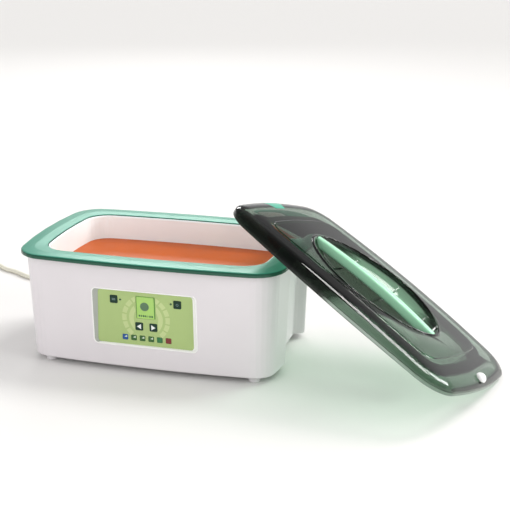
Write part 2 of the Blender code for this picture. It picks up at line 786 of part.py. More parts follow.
def tank_side(radius, floor, grown):
    """(inset, height) up the curve between the tank's floor and its wall; grown moves it inwards."""
    pairs = []
    for step in range(FILLET_STEPS + 1):
        angle = math.radians(90) * step / FILLET_STEPS
        height = floor + radius * (1 - math.cos(angle))
        pairs.append((tank_inset(height) + grown + radius * (1 - math.sin(angle)), height))
    return pairs


def inner_tank(bath):
    half = TANK_BEAD_WIDTH / 2
    soft = half * (1 - math.cos(math.radians(45)))
    shoulder = TANK_BEAD_TOP - half
    levels = tank_side(TANK_BOTTOM_RADIUS, TANK_FLOOR, 0)
    levels += [
        (TANK_BEAD_WIDTH, shoulder),
        (TANK_BEAD_WIDTH - soft, TANK_BEAD_TOP - soft),
        (half, TANK_BEAD_TOP),
        (CLEARANCE + soft, TANK_BEAD_TOP - soft),
        (CLEARANCE, shoulder),
        (CLEARANCE, FLANGE_TOP),
        (-TANK_FLANGE, FLANGE_TOP),
        (-TANK_FLANGE, RIM_BOTTOM),
        (tank_inset(RIM_BOTTOM) - TANK_WALL, RIM_BOTTOM),
    ]
    levels += tank_side(TANK_BOTTOM_RADIUS + TANK_WALL, TANK_FLOOR - TANK_WALL, -TANK_WALL)[::-1]
    rings = [at_height(opening_outline(inset), height) for inset, height in levels]
    return solid("inner_tank", loft(rings), "tank_enamel", bath)


def wax_fill(bath):
    levels = tank_side(TANK_BOTTOM_RADIUS, TANK_FLOOR + CLEARANCE, CLEARANCE)
    levels.append((tank_inset(WAX_LEVEL) + CLEARANCE, WAX_LEVEL))
    rings = [at_height(opening_outline(inset), height) for inset, height in levels]
    return solid("wax_fill", loft(rings), "wax_orange", bath)


def heating(bath):
    inset = tank_inset(TANK_FLOOR) + TANK_BOTTOM_RADIUS + HEATER_MARGIN
    outline = opening_outline(inset)
    bottom = HEATER_TOP - HEATER_THICKNESS
    mat = loft([at_height(outline, bottom), at_height(outline, HEATER_TOP)])
    heater = solid("heater_mat", mat, "heater_red", bath)
    holes = []
    for radius, (x, y) in ((CUTOUT_RADIUS, CUTOUT_PLACE), (PROBE_RADIUS, PROBE_PLACE)):
        wide = radius + CLEARANCE
        cut = turned([(wide, bottom - CUT_OVERRUN / 2), (wide, HEATER_TOP + CUT_OVERRUN / 2)], 16)
        holes.append(shifted(cut, (x, y, 0)))
    combine(heater, helper("heater_holes", joined(holes), bath), "DIFFERENCE")
    cutout = [
        (CUTOUT_RADIUS / 2, HEATER_TOP - CUTOUT_HEIGHT),
        (CUTOUT_RADIUS * 0.8, HEATER_TOP - CUTOUT_HEIGHT),
        (CUTOUT_RADIUS * 0.8, HEATER_TOP - CUTOUT_HEIGHT / 2),
        (CUTOUT_RADIUS, HEATER_TOP - CUTOUT_HEIGHT / 2),
        (CUTOUT_RADIUS, HEATER_TOP),
    ]
    solid("thermal_cutout", turned(cutout, 16), "steel", bath, (*CUTOUT_PLACE, 0))
    probe = [(PROBE_RADIUS, HEATER_TOP - PROBE_HEIGHT), (PROBE_RADIUS, HEATER_TOP)]
    solid("temperature_probe", turned(probe, 12), "steel", bath, (*PROBE_PLACE, 0))


def insulation_jacket(bath):
    inner = TANK_WALL + CLEARANCE
    outer = inner + JACKET_THICKNESS
    rings = []
    for gap, height in ((inner, JACKET_BOTTOM), (inner, JACKET_TOP), (outer, JACKET_TOP), (outer, JACKET_BOTTOM)):
        rings.append(at_height(opening_outline(tank_inset(height) - gap), height))
    return solid("insulation_jacket", loft(rings, "loop"), "jacket_felt", bath)


def control_panel(panel):
    film = at_height(panel_outline(-FILM_MARGIN), -FILM_THICKNESS), at_height(panel_outline(-FILM_MARGIN), 0)
    sheet = solid("panel_film", loft(film), "film_green", panel)
    combine(sheet, bpy.data.objects["panel_windows"], "DIFFERENCE")
    key = block(KEY_SIZE[0] / 2, KEY_SIZE[1] / 2, KEY_CORNER_RADIUS, -KEY_DEPTH, KEY_PROUD)
    for name, (x, y) in key_places().items():
        solid(name, key, "key_dark", panel, (x, y, 0))
    half = LAMP_SIZE / 2
    lens = block(half, half, LAMP_CORNER_RADIUS, BOARD_FRONT + CLEARANCE, -LAMP_SINK, 1)
    finishes = ["lamp_blue"] + ["lamp_green"] * (LAMP_COUNT - 2) + ["lamp_red"]
    for number, ((x, y), finish) in enumerate(zip(mode_lamp_places(), finishes), 1):
        solid(f"mode_lamp_{number}", lens, finish, panel, (x, y, 0))
    dot = turned([(STATUS_LAMP_RADIUS, BOARD_FRONT + CLEARANCE), (STATUS_LAMP_RADIUS, -LAMP_SINK)], 10)
    for name, (x, y) in status_lamp_places().items():
        solid(name, dot, "lamp_green", panel, (x, y, 0))
    half_x, half_y = LCD_SIZE[0] / 2, LCD_SIZE[1] / 2
    glass = block(half_x, half_y, LAMP_CORNER_RADIUS, BOARD_FRONT + CLEARANCE, -LCD_SINK, 1)
    solid("lcd_module", glass, "lcd_green", panel, (ARTWORK_OFFSET, LCD_RISE, 0))


def control_board(panel):
    back = BOARD_FRONT - BOARD_THICKNESS
    sheet = block(*BOARD_HALF_SIZE, POST_RADIUS, back, BOARD_FRONT)
    made = solid("control_board", sheet, "board_green", panel)
    top = -KEY_DEPTH - KEY_TRAVEL - CLEARANCE
    half = SWITCH_SIZE / 2
    switch = block(half, half, half / 4, BOARD_FRONT - BOARD_THICKNESS / 2, top, 1)
    switches = [shifted(switch, (x, y, 0)) for x, y in key_places().values()]
    combine(made, helper("switches", joined(switches), panel), "UNION")
    radius = BOARD_SCREW_RADIUS + CLEARANCE
    hole = turned([(radius, back - CUT_OVERRUN / 2), (radius, BOARD_FRONT + CUT_OVERRUN / 2)], 10)
    holes = [shifted(hole, (x, y, 0)) for x, y in board_screw_places().values()]
    combine(made, helper("board_holes", joined(holes), panel), "DIFFERENCE")
    seat = back - CLEARANCE
    head = BOARD_SCREW_HEAD_RADIUS
    profile = [
        (head * 0.7, seat - BOARD_SCREW_HEAD_HEIGHT),
        (head, seat - BOARD_SCREW_HEAD_HEIGHT / 2),
        (head, seat),
        (BOARD_SCREW_RADIUS, seat),
        (BOARD_SCREW_RADIUS, BOARD_FRONT + BOARD_SCREW_BITE),
    ]
    for name, (x, y) in board_screw_places().items():
        solid("board_screw_" + name, turned(profile, 10), "steel", panel, (x, y, 0))


def base_screws(bath):
    seat = BASE_BOTTOM - CLEARANCE
    profile = [
        (SCREW_HEAD_RADIUS * 0.7, seat - SCREW_HEAD_HEIGHT),
        (SCREW_HEAD_RADIUS, seat - SCREW_HEAD_HEIGHT / 2),
        (SCREW_HEAD_RADIUS, seat),
        (SCREW_RADIUS, seat),
        (SCREW_RADIUS, BASE_BOTTOM + SCREW_LENGTH),
    ]
    for name, (x, y) in base_screw_places().items():
        solid("base_screw_" + name, turned(profile, 12), "steel", bath, (x, y, 0))


def power_electronics(bath):
    bottom = BASE_TOP + POST_HEIGHT + CLEARANCE
    top = bottom + BOARD_THICKNESS
    half_x, half_y = POWER_BOARD_SIZE[0] / 2, POWER_BOARD_SIZE[1] / 2
    board = block(half_x, half_y, POST_RADIUS, bottom, top)
    solid("power_board", board, "board_green", bath, (*POWER_BOARD_PLACE, 0))
    seat = top + CLEARANCE
    width, depth, height = TRANSFORMER_SIZE
    yoke = TRANSFORMER_YOKE
    core = block(width / 2, depth / 2 - yoke, yoke / 4, seat, seat + height)
    winding = block(width / 2 - yoke, depth / 2, yoke / 2, seat + yoke / 2, seat + height - yoke / 2)
    made = solid("transformer", core, "core_grey", bath, (*TRANSFORMER_PLACE, 0))
    coil = helper("transformer_winding", winding, bath, (*TRANSFORMER_PLACE, 0))
    combine(made, coil, "UNION")
    width, depth, height = TERMINAL_SIZE
    terminal = block(width / 2, depth / 2, depth / 8, seat, seat + height)
    solid("terminal_block", terminal, "base_grey", bath, (*TERMINAL_PLACE, 0))
    return seat


def smooth_route(points, step):
    """Points at an even step along a smooth curve through the route's own, its first and last runs straight."""
    places = [Vector(p) for p in points]
    before = [2 * places[0] - places[1]] + places
    padded = before + [2 * places[-1] - places[-2]]
    fine = []
    samples = 20
    for index in range(1, len(padded) - 2):
        a, b, c, d = padded[index - 1 : index + 3]
        for sample in range(samples):
            t = sample / samples
            curve = 2 * b + (c - a) * t + (2 * a - 5 * b + 4 * c - d) * t**2
            fine.append((curve + (3 * b - a - 3 * c + d) * t**3) / 2)
    fine = fine[samples : 1 - samples]
    lengths = [0.0]
    for first, second in zip(fine, fine[1:]):
        lengths.append(lengths[-1] + (second - first).length)
    count = max(2, round(lengths[-1] / step))
    route = [places[0]]
    place = 0
    for number in range(count + 1):
        target = lengths[-1] * number / count
        while place < len(fine) - 2 and lengths[place + 1] < target:
            place += 1
        share = (target - lengths[place]) / (lengths[place + 1] - lengths[place])
        route.append(fine[place].lerp(fine[place + 1], min(share, 1)))
    return [*route, places[-1]]


def tube(name, points, resolution, finish, parent):
    curve = bpy.data.curves.new(name, "CURVE")
    curve.dimensions = "3D"
    curve.bevel_depth = CORD_DIAMETER / 2
    curve.bevel_resolution = resolution
    curve.use_fill_caps = True
    spline = curve.splines.new("POLY")
    spline.points.add(len(points) - 1)
    for point, place in zip(spline.points, points):
        point.co = (*place, 1)
    curve.materials.append(material(finish))
    made = bpy.data.objects.new(name, curve)
    bpy.context.scene.collection.objects.link(made)
    made.parent = parent
    return made


def route_length(points):
    return sum((Vector(b) - Vector(a)).length for a, b in zip(points, points[1:]))


CORD_LEVEL = CORD_DIAMETER / 2 + CLEARANCE


def coil_points():
    """Two piled layers of loops: in along the floor, up in the half turn where it reverses, and out again."""
    steps = round(COIL_TURNS * COIL_POINTS_PER_TURN)
    points = []
    for step in range(steps + 1):
        turn = step / COIL_POINTS_PER_TURN
        from_end = COIL_TURNS / 2 - abs(turn - COIL_TURNS / 2)
        radius = COIL_OUTER_RADIUS - COIL_PITCH * from_end
        angle = math.tau * (COIL_START_TURN + turn)
        climb = min(max((turn - COIL_TURNS / 2) / 0.5 + 0.5, 0), 1)
        rise = COIL_LAYER_STEP * climb**2 * (3 - 2 * climb)
        x = COIL_CENTRE[0] + radius * math.cos(angle)
        y = COIL_CENTRE[1] + radius * math.sin(angle)
        points.append(Vector((x, y, CORD_LEVEL + rise)))
    start = points[0] + Vector((CORD_DIAMETER, 0, 0))
    end = points[-1] - Vector((0, CORD_DIAMETER, 0))
    return [start, *points, end]


def least_gap(points):
    """The narrowest space between one stretch of the coil and another that passes by it."""
    apart = COIL_POINTS_PER_TURN // 2
    least = math.inf
    for index, first in enumerate(points):
        for second in points[index + apart :]:
            least = min(least, (second - first).length)
    return least - CORD_DIAMETER


def relief_base():
    x, height = CORD_EXIT
    return Vector((x, rear_wall(x, height) + RELIEF_STANDOFF, height))


def supply_cord(bath, seat):
    base = relief_base()
    profile = [
        (RELIEF_NECK_RADIUS, -RELIEF_NECK_LENGTH),
        (RELIEF_NECK_RADIUS, 0),
        (RELIEF_FLANGE_RADIUS, 0),
        (RELIEF_FLANGE_RADIUS, RELIEF_FLANGE_THICKNESS),
        (RELIEF_ROOT_RADIUS, RELIEF_FLANGE_THICKNESS),
        (RELIEF_TIP_RADIUS, RELIEF_LENGTH),
    ]
    backwards = (math.radians(-90), 0, 0)
    solid("strain_relief", turned(profile, 16), "cord_cream", bath, base, backwards)
    start = base + Vector((0, RELIEF_LENGTH + CLEARANCE, 0))
    coil = coil_points()
    end = coil[0] + Vector((CLEARANCE, 0, 0))
    route = [
        start,
        start + Vector((0, CORD_DIAMETER, 0)),
        Vector((start.x - 0.008, 0.190, 0.014)),
        Vector((start.x - 0.035, 0.213, 0.0046)),
        Vector((-0.215, 0.218, CORD_LEVEL)),
        Vector((-0.270, 0.213, CORD_LEVEL)),
        Vector((-0.315, 0.215, CORD_LEVEL)),
        Vector((-0.346, 0.224, CORD_LEVEL)),
        Vector((-0.376, 0.242, CORD_LEVEL)),
        Vector((-0.402, 0.253, CORD_LEVEL)),
        Vector((-0.428, 0.273, CORD_LEVEL)),
        Vector((-0.458, 0.294, CORD_LEVEL)),
        end + Vector((CORD_DIAMETER, 0, 0)),
        end,
    ]
    cord = smooth_route(route, CORD_POINT_STEP)
    tube("power_cord", cord, 2, "cord_cream", bath)
    tube("cord_coil", coil, 1, "cord_cream", bath)
    leaving = coil[-1] - Vector((0, CLEARANCE, 0))
    plug_level = PLUG_HALF_HEIGHT + CLEARANCE
    tail_end = Vector((-0.5535, 0.134, plug_level))
    tail = [
        leaving,
        leaving - Vector((0, CORD_DIAMETER, 0)),
        Vector((-0.5495, 0.205, 0.0060)),
        Vector((-0.5520, 0.175, 0.0055)),
        tail_end + Vector((0, 2 * CORD_DIAMETER, 0)),
        tail_end,
    ]
    plug_lead = smooth_route(tail, CORD_POINT_STEP)
    tube("plug_lead", plug_lead, 2, "cord_cream", bath)
    mains_plug(bath, tail_end - Vector((0, CLEARANCE, 0)))
    inside = base - Vector((0, RELIEF_NECK_LENGTH + CLEARANCE, 0))
    terminal = Vector((*TERMINAL_PLACE, seat + TERMINAL_SIZE[2] / 2))
    landing = terminal - Vector((TERMINAL_SIZE[0] / 2 + CLEARANCE, 0, 0))
    lead = [
        inside,
        inside - Vector((0, CORD_DIAMETER, 0)),
        (inside + landing) / 2 - Vector((CORD_DIAMETER, 2 * CORD_DIAMETER, 0)),
        landing - Vector((CORD_DIAMETER, 0, 0)),
        landing,
    ]
    tube("inner_lead", smooth_route(lead, CORD_POINT_STEP / 2), 2, "cord_cream", bath)
    total = route_length(cord) + route_length(coil) + route_length(plug_lead)
    print(f"cord length {total:.3f} m, coil's least gap to itself {least_gap(coil) * 1000:.2f} mm")


def mains_plug(bath, tail):
    """A moulded plug lying on the floor, its tail towards +Y and two round pins towards -Y."""
    sections = [
        (CORD_DIAMETER * 0.72, CORD_DIAMETER * 0.72, 0),
        (CORD_DIAMETER, CORD_DIAMETER * 0.9, PLUG_TAIL),
        (PLUG_HALF_WIDTH * 0.8, PLUG_HALF_HEIGHT * 0.85, PLUG_TAIL * 1.6),
        (PLUG_HALF_WIDTH, PLUG_HALF_HEIGHT, PLUG_TAIL * 2.2),
        (PLUG_HALF_WIDTH, PLUG_HALF_HEIGHT, PLUG_LENGTH - PLUG_TAIL / 5),
        (PLUG_HALF_WIDTH * 0.93, PLUG_HALF_HEIGHT * 0.93, PLUG_LENGTH),
    ]
    rings = []
    for half_width, half_height, along in sections:
        outline = rounded_rectangle(half_width, half_height, half_height * 0.8)
        rings.append([(x, -along, z) for x, z in outline])
    solid("mains_plug", loft(rings), "cord_cream", bath, tail)
    face = tail - Vector((0, PLUG_LENGTH + CLEARANCE, 0))
    tip = PLUG_PIN_LENGTH - PLUG_PIN_RADIUS / 2
    profile = [(PLUG_PIN_RADIUS, 0), (PLUG_PIN_RADIUS, tip), (PLUG_PIN_RADIUS / 2, PLUG_PIN_LENGTH)]
    for name, side in (("plug_pin_left", -1), ("plug_pin_right", 1)):
        place = face + Vector((side * PLUG_PIN_SPREAD, 0, 0))
        solid(name, turned(profile, 12), "steel", bath, place, (math.radians(90), 0, 0))


# Levels of the lid that several of its stretches share
SHOULDER_TOP = LID_SKIRT_HEIGHT + LID_SHOULDER_RISE
FIELD_FOOT = SHOULDER_TOP + FIELD_SLOPE
DISH_RIM = FIELD_FOOT + FIELD_STEP + FIELD_SLOPE


def lid_outline(inset, steps=LID_STEPS):
    return bath_outline(inset - LID_OVERHANG, steps)


def locating_outline(inset, steps=LID_STEPS):
    """The rib under the lid that drops inside the tank's bead."""
    return opening_outline(TANK_BEAD_WIDTH + LOCATING_CLEARANCE + inset, steps)


def field_outline(inset):
    return bowed_outline(
        FIELD_HALF_LENGTH - inset,
        FIELD_HALF_WIDTH - inset,
        FRONT_BOW_RADIUS,
        SIDE_BOW_RADIUS,
        FIELD_CORNER_RADIUS - inset,
        LID_STEPS,
    )


def dish_outline(inset, share=1):
    """The dish's leaf-shaped edge, its points in the same directions as the lid's own."""
    half_x = (DISH_HALF_LENGTH - inset) * share
    half_y = (DISH_HALF_WIDTH - inset) * share
    points = []
    for x, y in lid_outline(0):
        angle = math.atan2(y / RIM_HALF_DEPTH, x / RIM_HALF_LENGTH)
        along, across = math.cos(angle), math.sin(angle)
        px = half_x * math.copysign(abs(along) ** (2 / DISH_POWER), along)
        py = half_y * math.copysign(abs(across) ** (2 / DISH_POWER), across)
        points.append((px, py))
    return points


def crown_at(x):
    """How far the lid's arch raises its top at this place along it."""
    return LID_CROWN * (1 - (x / (RIM_HALF_LENGTH + LID_OVERHANG)) ** 2)


def crowned(outline, height, share):
    """A ring raised by this share of the lid's arch."""
    return [(x, y, height + share * crown_at(x)) for x, y in outline]


def arc_angles(first=0.0):
    return [first + (math.radians(90) - first) * step / LID_ARC_STEPS for step in range(LID_ARC_STEPS + 1)]


def dish_rings(inset, depth, first=0.0):
    """The dish from its edge down, as an ellipse in section. The last ring is small and flat."""
    rings = []
    for angle in arc_angles(first):
        share = max(math.cos(angle), DISH_FLAT_SHARE)
        rings.append(crowned(dish_outline(inset, share), DISH_RIM - depth * math.sin(angle), share))
    return rings


def shoulder_rings(lowered):
    rings = []
    for angle in arc_angles():
        inset = LID_SHOULDER_WIDTH * (1 - math.cos(angle)) + lowered * math.cos(angle)
        height = LID_SKIRT_HEIGHT + (LID_SHOULDER_RISE - lowered) * math.sin(angle)
        rings.append(crowned(lid_outline(inset), height, math.sin(angle)))
    return rings


def lid_form(lowered):
    """The lid's outside as one closed form, lowered into it by a thickness."""
    below = at_height(lid_outline(lowered), -CUT_OVERRUN)
    field = crowned(field_outline(0), FIELD_FOOT - lowered, 1)
    return loft([below, *shoulder_rings(lowered), field])


def lid_shell(lid):
    ceiling = SHOULDER_TOP - LID_WALL
    under_dish = math.asin(LID_WALL / (DISH_DEPTH + LID_WALL))
    seat_inset = LID_SKIRT_WALL + LID_SEAT_WIDTH
    rings = dish_rings(DISH_LIP, DISH_DEPTH)[::-1]
    rings += [
        crowned(dish_outline(0), DISH_RIM + DISH_LIP / 2, 1),
        crowned(dish_outline(-DISH_LIP), DISH_RIM, 1),
        crowned(field_outline(FIELD_STEP), FIELD_FOOT + FIELD_STEP, 1),
        crowned(field_outline(0), FIELD_FOOT, 1),
    ]
    rings += shoulder_rings(0)[::-1]
    rings += [
        at_height(lid_outline(0), LID_EDGE),
        at_height(lid_outline(LID_EDGE), 0),
        at_height(lid_outline(LID_SKIRT_WALL), 0),
        at_height(lid_outline(LID_SKIRT_WALL), LID_SEAT),
    ]
    for angle in arc_angles():
        inset = seat_inset + (LID_SHOULDER_WIDTH - seat_inset) * (1 - math.cos(angle))
        height = LID_SEAT + (ceiling - LID_SEAT) * math.sin(angle)
        rings.append(crowned(lid_outline(inset), height, math.sin(angle)))
    rings += [
        crowned(locating_outline(0), ceiling, 1),
        at_height(locating_outline(0), -LOCATING_DROP),
        at_height(locating_outline(LOCATING_WALL), -LOCATING_DROP),
        crowned(locating_outline(LOCATING_WALL), ceiling, 1),
    ]
    rings += dish_rings(-LID_WALL, DISH_DEPTH + LID_WALL, under_dish)
    made = solid("lid_shell", loft(rings), "lid_smoke", lid)
    wide = VENT_STEM_RADIUS + CLEARANCE
    bore = turned([(wide, -CUT_OVERRUN), (wide, CUT_OVERRUN)], 16)
    place, tilt = vent_place()
    combine(made, helper("vent_hole", bore, lid, place, tilt), "DIFFERENCE")
    notch = helper("tab_notch", tab_prism(CLEARANCE), lid)
    inner = helper("tab_notch_floor", lid_form(TAB_THICKNESS + CLEARANCE), lid)
    combine(notch, inner, "DIFFERENCE")
    combine(made, notch, "DIFFERENCE")
    dish_ribs(made, lid)
    return made


def vent_place():
    """Where the vent plug sits on the shoulder of the lower end, and how it tilts with it."""
    share = 1 - VENT_INSET / LID_SHOULDER_WIDTH
    rise = LID_SHOULDER_RISE * math.sqrt(1 - share**2)
    x = RIM_HALF_LENGTH + LID_OVERHANG - VENT_INSET
    return (x, 0, LID_SKIRT_HEIGHT + rise + crown_at(x)), (0, VENT_TILT, 0)


def vent_plug(lid):
    """A round button whose stem fills the vent hole."""
    profile = [(VENT_STEM_RADIUS, -VENT_STEM_LENGTH), (VENT_STEM_RADIUS, VENT_SEAT)]
    for step in range(VENT_STEPS):
        angle = math.radians(90) * step / VENT_STEPS
        height = VENT_SEAT + (VENT_HEIGHT - VENT_SEAT) * math.sin(angle)
        profile.append((VENT_RADIUS * math.cos(angle), height))
    profile.append((VENT_RADIUS / 8, VENT_HEIGHT))
    place, tilt = vent_place()
    return solid("vent_plug", turned(profile, 20), "vent_white", lid, place, tilt)


def tab_prism(grown):
    """The tab's plan, wide at the lid's end and narrow inwards, as a block through its end."""
    end = -(RIM_HALF_LENGTH + LID_OVERHANG)
    inner = end + TAB_LENGTH + grown
    outer = end - CUT_OVERRUN
    flare = (TAB_END_HALF_WIDTH - TAB_INNER_HALF_WIDTH) / TAB_LENGTH
    wide = TAB_END_HALF_WIDTH + grown + flare * CUT_OVERRUN
    narrow = TAB_INNER_HALF_WIDTH + grown
    outline = [(inner, -narrow), (inner, narrow), (outer, wide), (outer, -wide)]
    bottom = TAB_SKIRT_GAP - grown
    return loft([at_height(outline, bottom), at_height(outline, SHOULDER_TOP + CUT_OVERRUN)])


def lid_tab(lid):
    made = solid("lid_tab", tab_prism(0), "rim_green", lid)
    combine(made, helper("tab_outside", lid_form(0), lid), "INTERSECT")
    combine(made, helper("tab_inside", lid_form(TAB_THICKNESS), lid), "DIFFERENCE")
    return made


def dish_room(inset, depth):
    """The dish's hollow as a closed form that goes on above the lid."""
    above = at_height(dish_outline(inset), DISH_RIM + GRIP_RISE + LID_CROWN + CUT_OVERRUN)
    return loft([above, *dish_rings(inset, depth)])


def dish_ribs(shell, lid):
    """Low ribs across the dish, one piece with the lid."""
    plates = []
    for share in DISH_RIB_SHARES:
        x = DISH_HALF_LENGTH * share
        outline = rounded_rectangle(DISH_RIB_THICKNESS / 2, DISH_HALF_WIDTH, DISH_RIB_THICKNESS / 4, 1)
        outline = [(x + px, py) for px, py in outline]
        foot = DISH_RIM - DISH_DEPTH - DISH_RIB_THICKNESS
        plates.append(loft([at_height(outline, foot), at_height(outline, DISH_RIM)]))
    ribs = helper("dish_ribs", joined(plates), lid)
    deep = dish_room(DISH_LIP - DISH_RIB_ROOT, DISH_DEPTH + DISH_RIB_ROOT)
    free = dish_room(DISH_LIP + DISH_RIB_HEIGHT, DISH_DEPTH - DISH_RIB_HEIGHT)
    combine(ribs, helper("rib_roots", deep, lid), "INTERSECT")
    combine(ribs, helper("rib_tops", free, lid), "DIFFERENCE")
    combine(shell, ribs, "UNION")


def lid_grip(lid):
    """A bar from tip to tip of the dish, widest in its middle."""
    outline = rounded_rectangle(GRIP_WIDTH / 2, GRIP_HEIGHT / 2, GRIP_EDGE, 2)
    sections = []
    for step in range(-GRIP_STATIONS, GRIP_STATIONS + 1):
        share = step / GRIP_STATIONS
        x = DISH_HALF_LENGTH * share
        top = DISH_RIM + crown_at(x) + GRIP_RISE * (1 - share**2)
        narrowing = 1 - GRIP_TAPER_SHARE * share**2
        sections.append([(x, y * narrowing, top - GRIP_HEIGHT / 2 + z) for y, z in outline])
    made = solid("lid_grip", loft(sections), "grip_mint", lid)
    room = dish_room(DISH_LIP + CLEARANCE, DISH_DEPTH - CLEARANCE)
    combine(made, helper("grip_room", room, lid), "INTERSECT")
    return made


def inside(outline, x, y):
    """Whether a point lies inside a convex outline that runs anticlockwise."""
    for (ax, ay), (bx, by) in zip(outline, outline[1:] + outline[:1]):
        if (bx - ax) * (y - ay) - (by - ay) * (x - ax) < 0:
            return False
    return True


def lid_heights(lean, outline, underside):
    """The heights of the lid's middle at which, with this slope, it would rest on the floor and on the rim."""
    turn = Euler((LID_ROLL, lean, LID_TURN)).to_matrix()
    middle_x = LID_PLACE_SHARES[0] * RIM_HALF_LENGTH
    middle_y = LID_PLACE_SHARES[1] * RIM_HALF_DEPTH
    places = [turn @ point for point in underside]
    on_floor = -min(place.z for place in places)
    over_rim = [p.z for p in places if inside(outline, middle_x + p.x, middle_y + p.y)]
    on_rim = RIM_TOP + RIM_CROWN + CLEARANCE - min(over_rim, default=0)
    return on_floor, on_rim


def lid_pose():
    """Where the lid's frame stands, its slope found by halving until floor and rim carry it together."""
    outline = bath_outline(0)
    underside = at_height(lid_outline(LID_EDGE, CONTACT_STEPS), 0)
    underside += at_height(locating_outline(0, CONTACT_STEPS), -LOCATING_DROP)
    underside = [Vector(point) for point in underside]
    low, high = LID_LEAN_LIMITS
    for _ in range(HALVINGS):
        lean = (low + high) / 2
        on_floor, on_rim = lid_heights(lean, outline, underside)
        if on_floor < on_rim:
            low = lean
        else:
            high = lean
    on_floor, on_rim = lid_heights(high, outline, underside)
    x = LID_PLACE_SHARES[0] * RIM_HALF_LENGTH
    y = LID_PLACE_SHARES[1] * RIM_HALF_DEPTH
    return (x, y, max(on_floor, on_rim)), (LID_ROLL, high, LID_TURN)


def main():
    clear_scene()
    bath = frame_empty("bath_frame", None, (*BATH_PLACE, 0))
    wall = PANEL_HEIGHT
    face = housing_inset(wall) - RIM_HALF_DEPTH + PANEL_RECESS
    tilt = math.radians(90) + HOUSING_DRAFT
    panel = frame_empty("panel_frame", bath, (0, face, wall), (tilt, 0, 0))
    place, rotation = lid_pose()
    lid = frame_empty("lid_frame", bath, place, rotation)
    helper("panel_windows", panel_windows(), panel)
    housing(bath, panel)
    rim_frame(bath)
    inner_tank(bath)
    wax_fill(bath)
    heating(bath)
    insulation_jacket(bath)
    base_plate(bath)
    feet(bath)
    base_screws(bath)
    control_panel(panel)
    control_board(panel)
    seat = power_electronics(bath)
    supply_cord(bath, seat)
    lid_shell(lid)
    lid_grip(lid)
    vent_plug(lid)
    lid_tab(lid)
    print("lid frame", [round(v, 4) for v in place], [round(math.degrees(v), 2) for v in rotation])


main()
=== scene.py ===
"""Paraffin wax bath with its lid leaned on the rim: camera, cords, finer moulded pieces, materials, light."""

import math

import bpy
from mathutils import Matrix, Vector
from mathutils.bvhtree import BVHTree


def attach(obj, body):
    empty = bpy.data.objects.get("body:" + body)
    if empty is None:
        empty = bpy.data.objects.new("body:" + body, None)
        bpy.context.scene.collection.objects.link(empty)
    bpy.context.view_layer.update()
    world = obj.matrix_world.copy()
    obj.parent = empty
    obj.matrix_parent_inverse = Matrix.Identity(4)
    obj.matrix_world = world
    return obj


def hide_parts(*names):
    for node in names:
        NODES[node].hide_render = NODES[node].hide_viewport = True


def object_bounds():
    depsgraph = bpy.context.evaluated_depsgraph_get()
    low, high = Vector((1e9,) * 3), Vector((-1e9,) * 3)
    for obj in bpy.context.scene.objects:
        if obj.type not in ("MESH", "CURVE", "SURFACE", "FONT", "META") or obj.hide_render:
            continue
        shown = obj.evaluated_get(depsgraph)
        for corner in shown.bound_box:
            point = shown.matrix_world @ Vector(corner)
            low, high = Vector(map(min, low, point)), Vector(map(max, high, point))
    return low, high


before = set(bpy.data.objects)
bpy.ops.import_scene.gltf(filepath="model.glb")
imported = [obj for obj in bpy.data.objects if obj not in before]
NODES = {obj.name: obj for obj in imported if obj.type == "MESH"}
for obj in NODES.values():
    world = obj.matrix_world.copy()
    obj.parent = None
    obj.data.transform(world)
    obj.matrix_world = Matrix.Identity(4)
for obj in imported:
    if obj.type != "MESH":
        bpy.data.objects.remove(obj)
CAD_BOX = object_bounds()

# Frames of the bath, its panel and its lid, as the solids have them
BATH = Vector((-0.1404, 0.0257, 0))
PANEL_PLACE = Vector((-0.1404, -0.091827, 0.082))
PANEL_TILT = math.radians(90 + 2.45)
LID_PLACE = Vector((0.1538, -0.0009, 0.114873))
LID_ROWS = (
    (0.817556, 0.244106, 0.52155),
    (-0.330314, 0.940683, 0.077506),
    (-0.471694, -0.235641, 0.849693),
)
PANEL_FRAME = Matrix.Translation(PANEL_PLACE) @ Matrix.Rotation(PANEL_TILT, 4, "X")
LID_FRAME = Matrix.Translation(LID_PLACE) @ Matrix(LID_ROWS).to_4x4()

# The photograph's viewpoint
CAMERA_PLACE = (0.4405, -1.5837, 0.6736)
CAMERA_AZIMUTH = math.radians(15.81)
CAMERA_ELEVATION = math.radians(17.37)
CAMERA_LENS = 86.75
SENSOR_WIDTH = 36


def link(thing):
    bpy.context.scene.collection.objects.link(thing)
    return thing


def put_camera():
    data = bpy.data.cameras.new("camera")
    data.lens = CAMERA_LENS
    data.sensor_width = SENSOR_WIDTH
    camera = link(bpy.data.objects.new("camera", data))
    camera.location = CAMERA_PLACE
    camera.rotation_euler = (math.radians(90) - CAMERA_ELEVATION, 0, CAMERA_AZIMUTH)
    bpy.context.scene.camera = camera


put_camera()

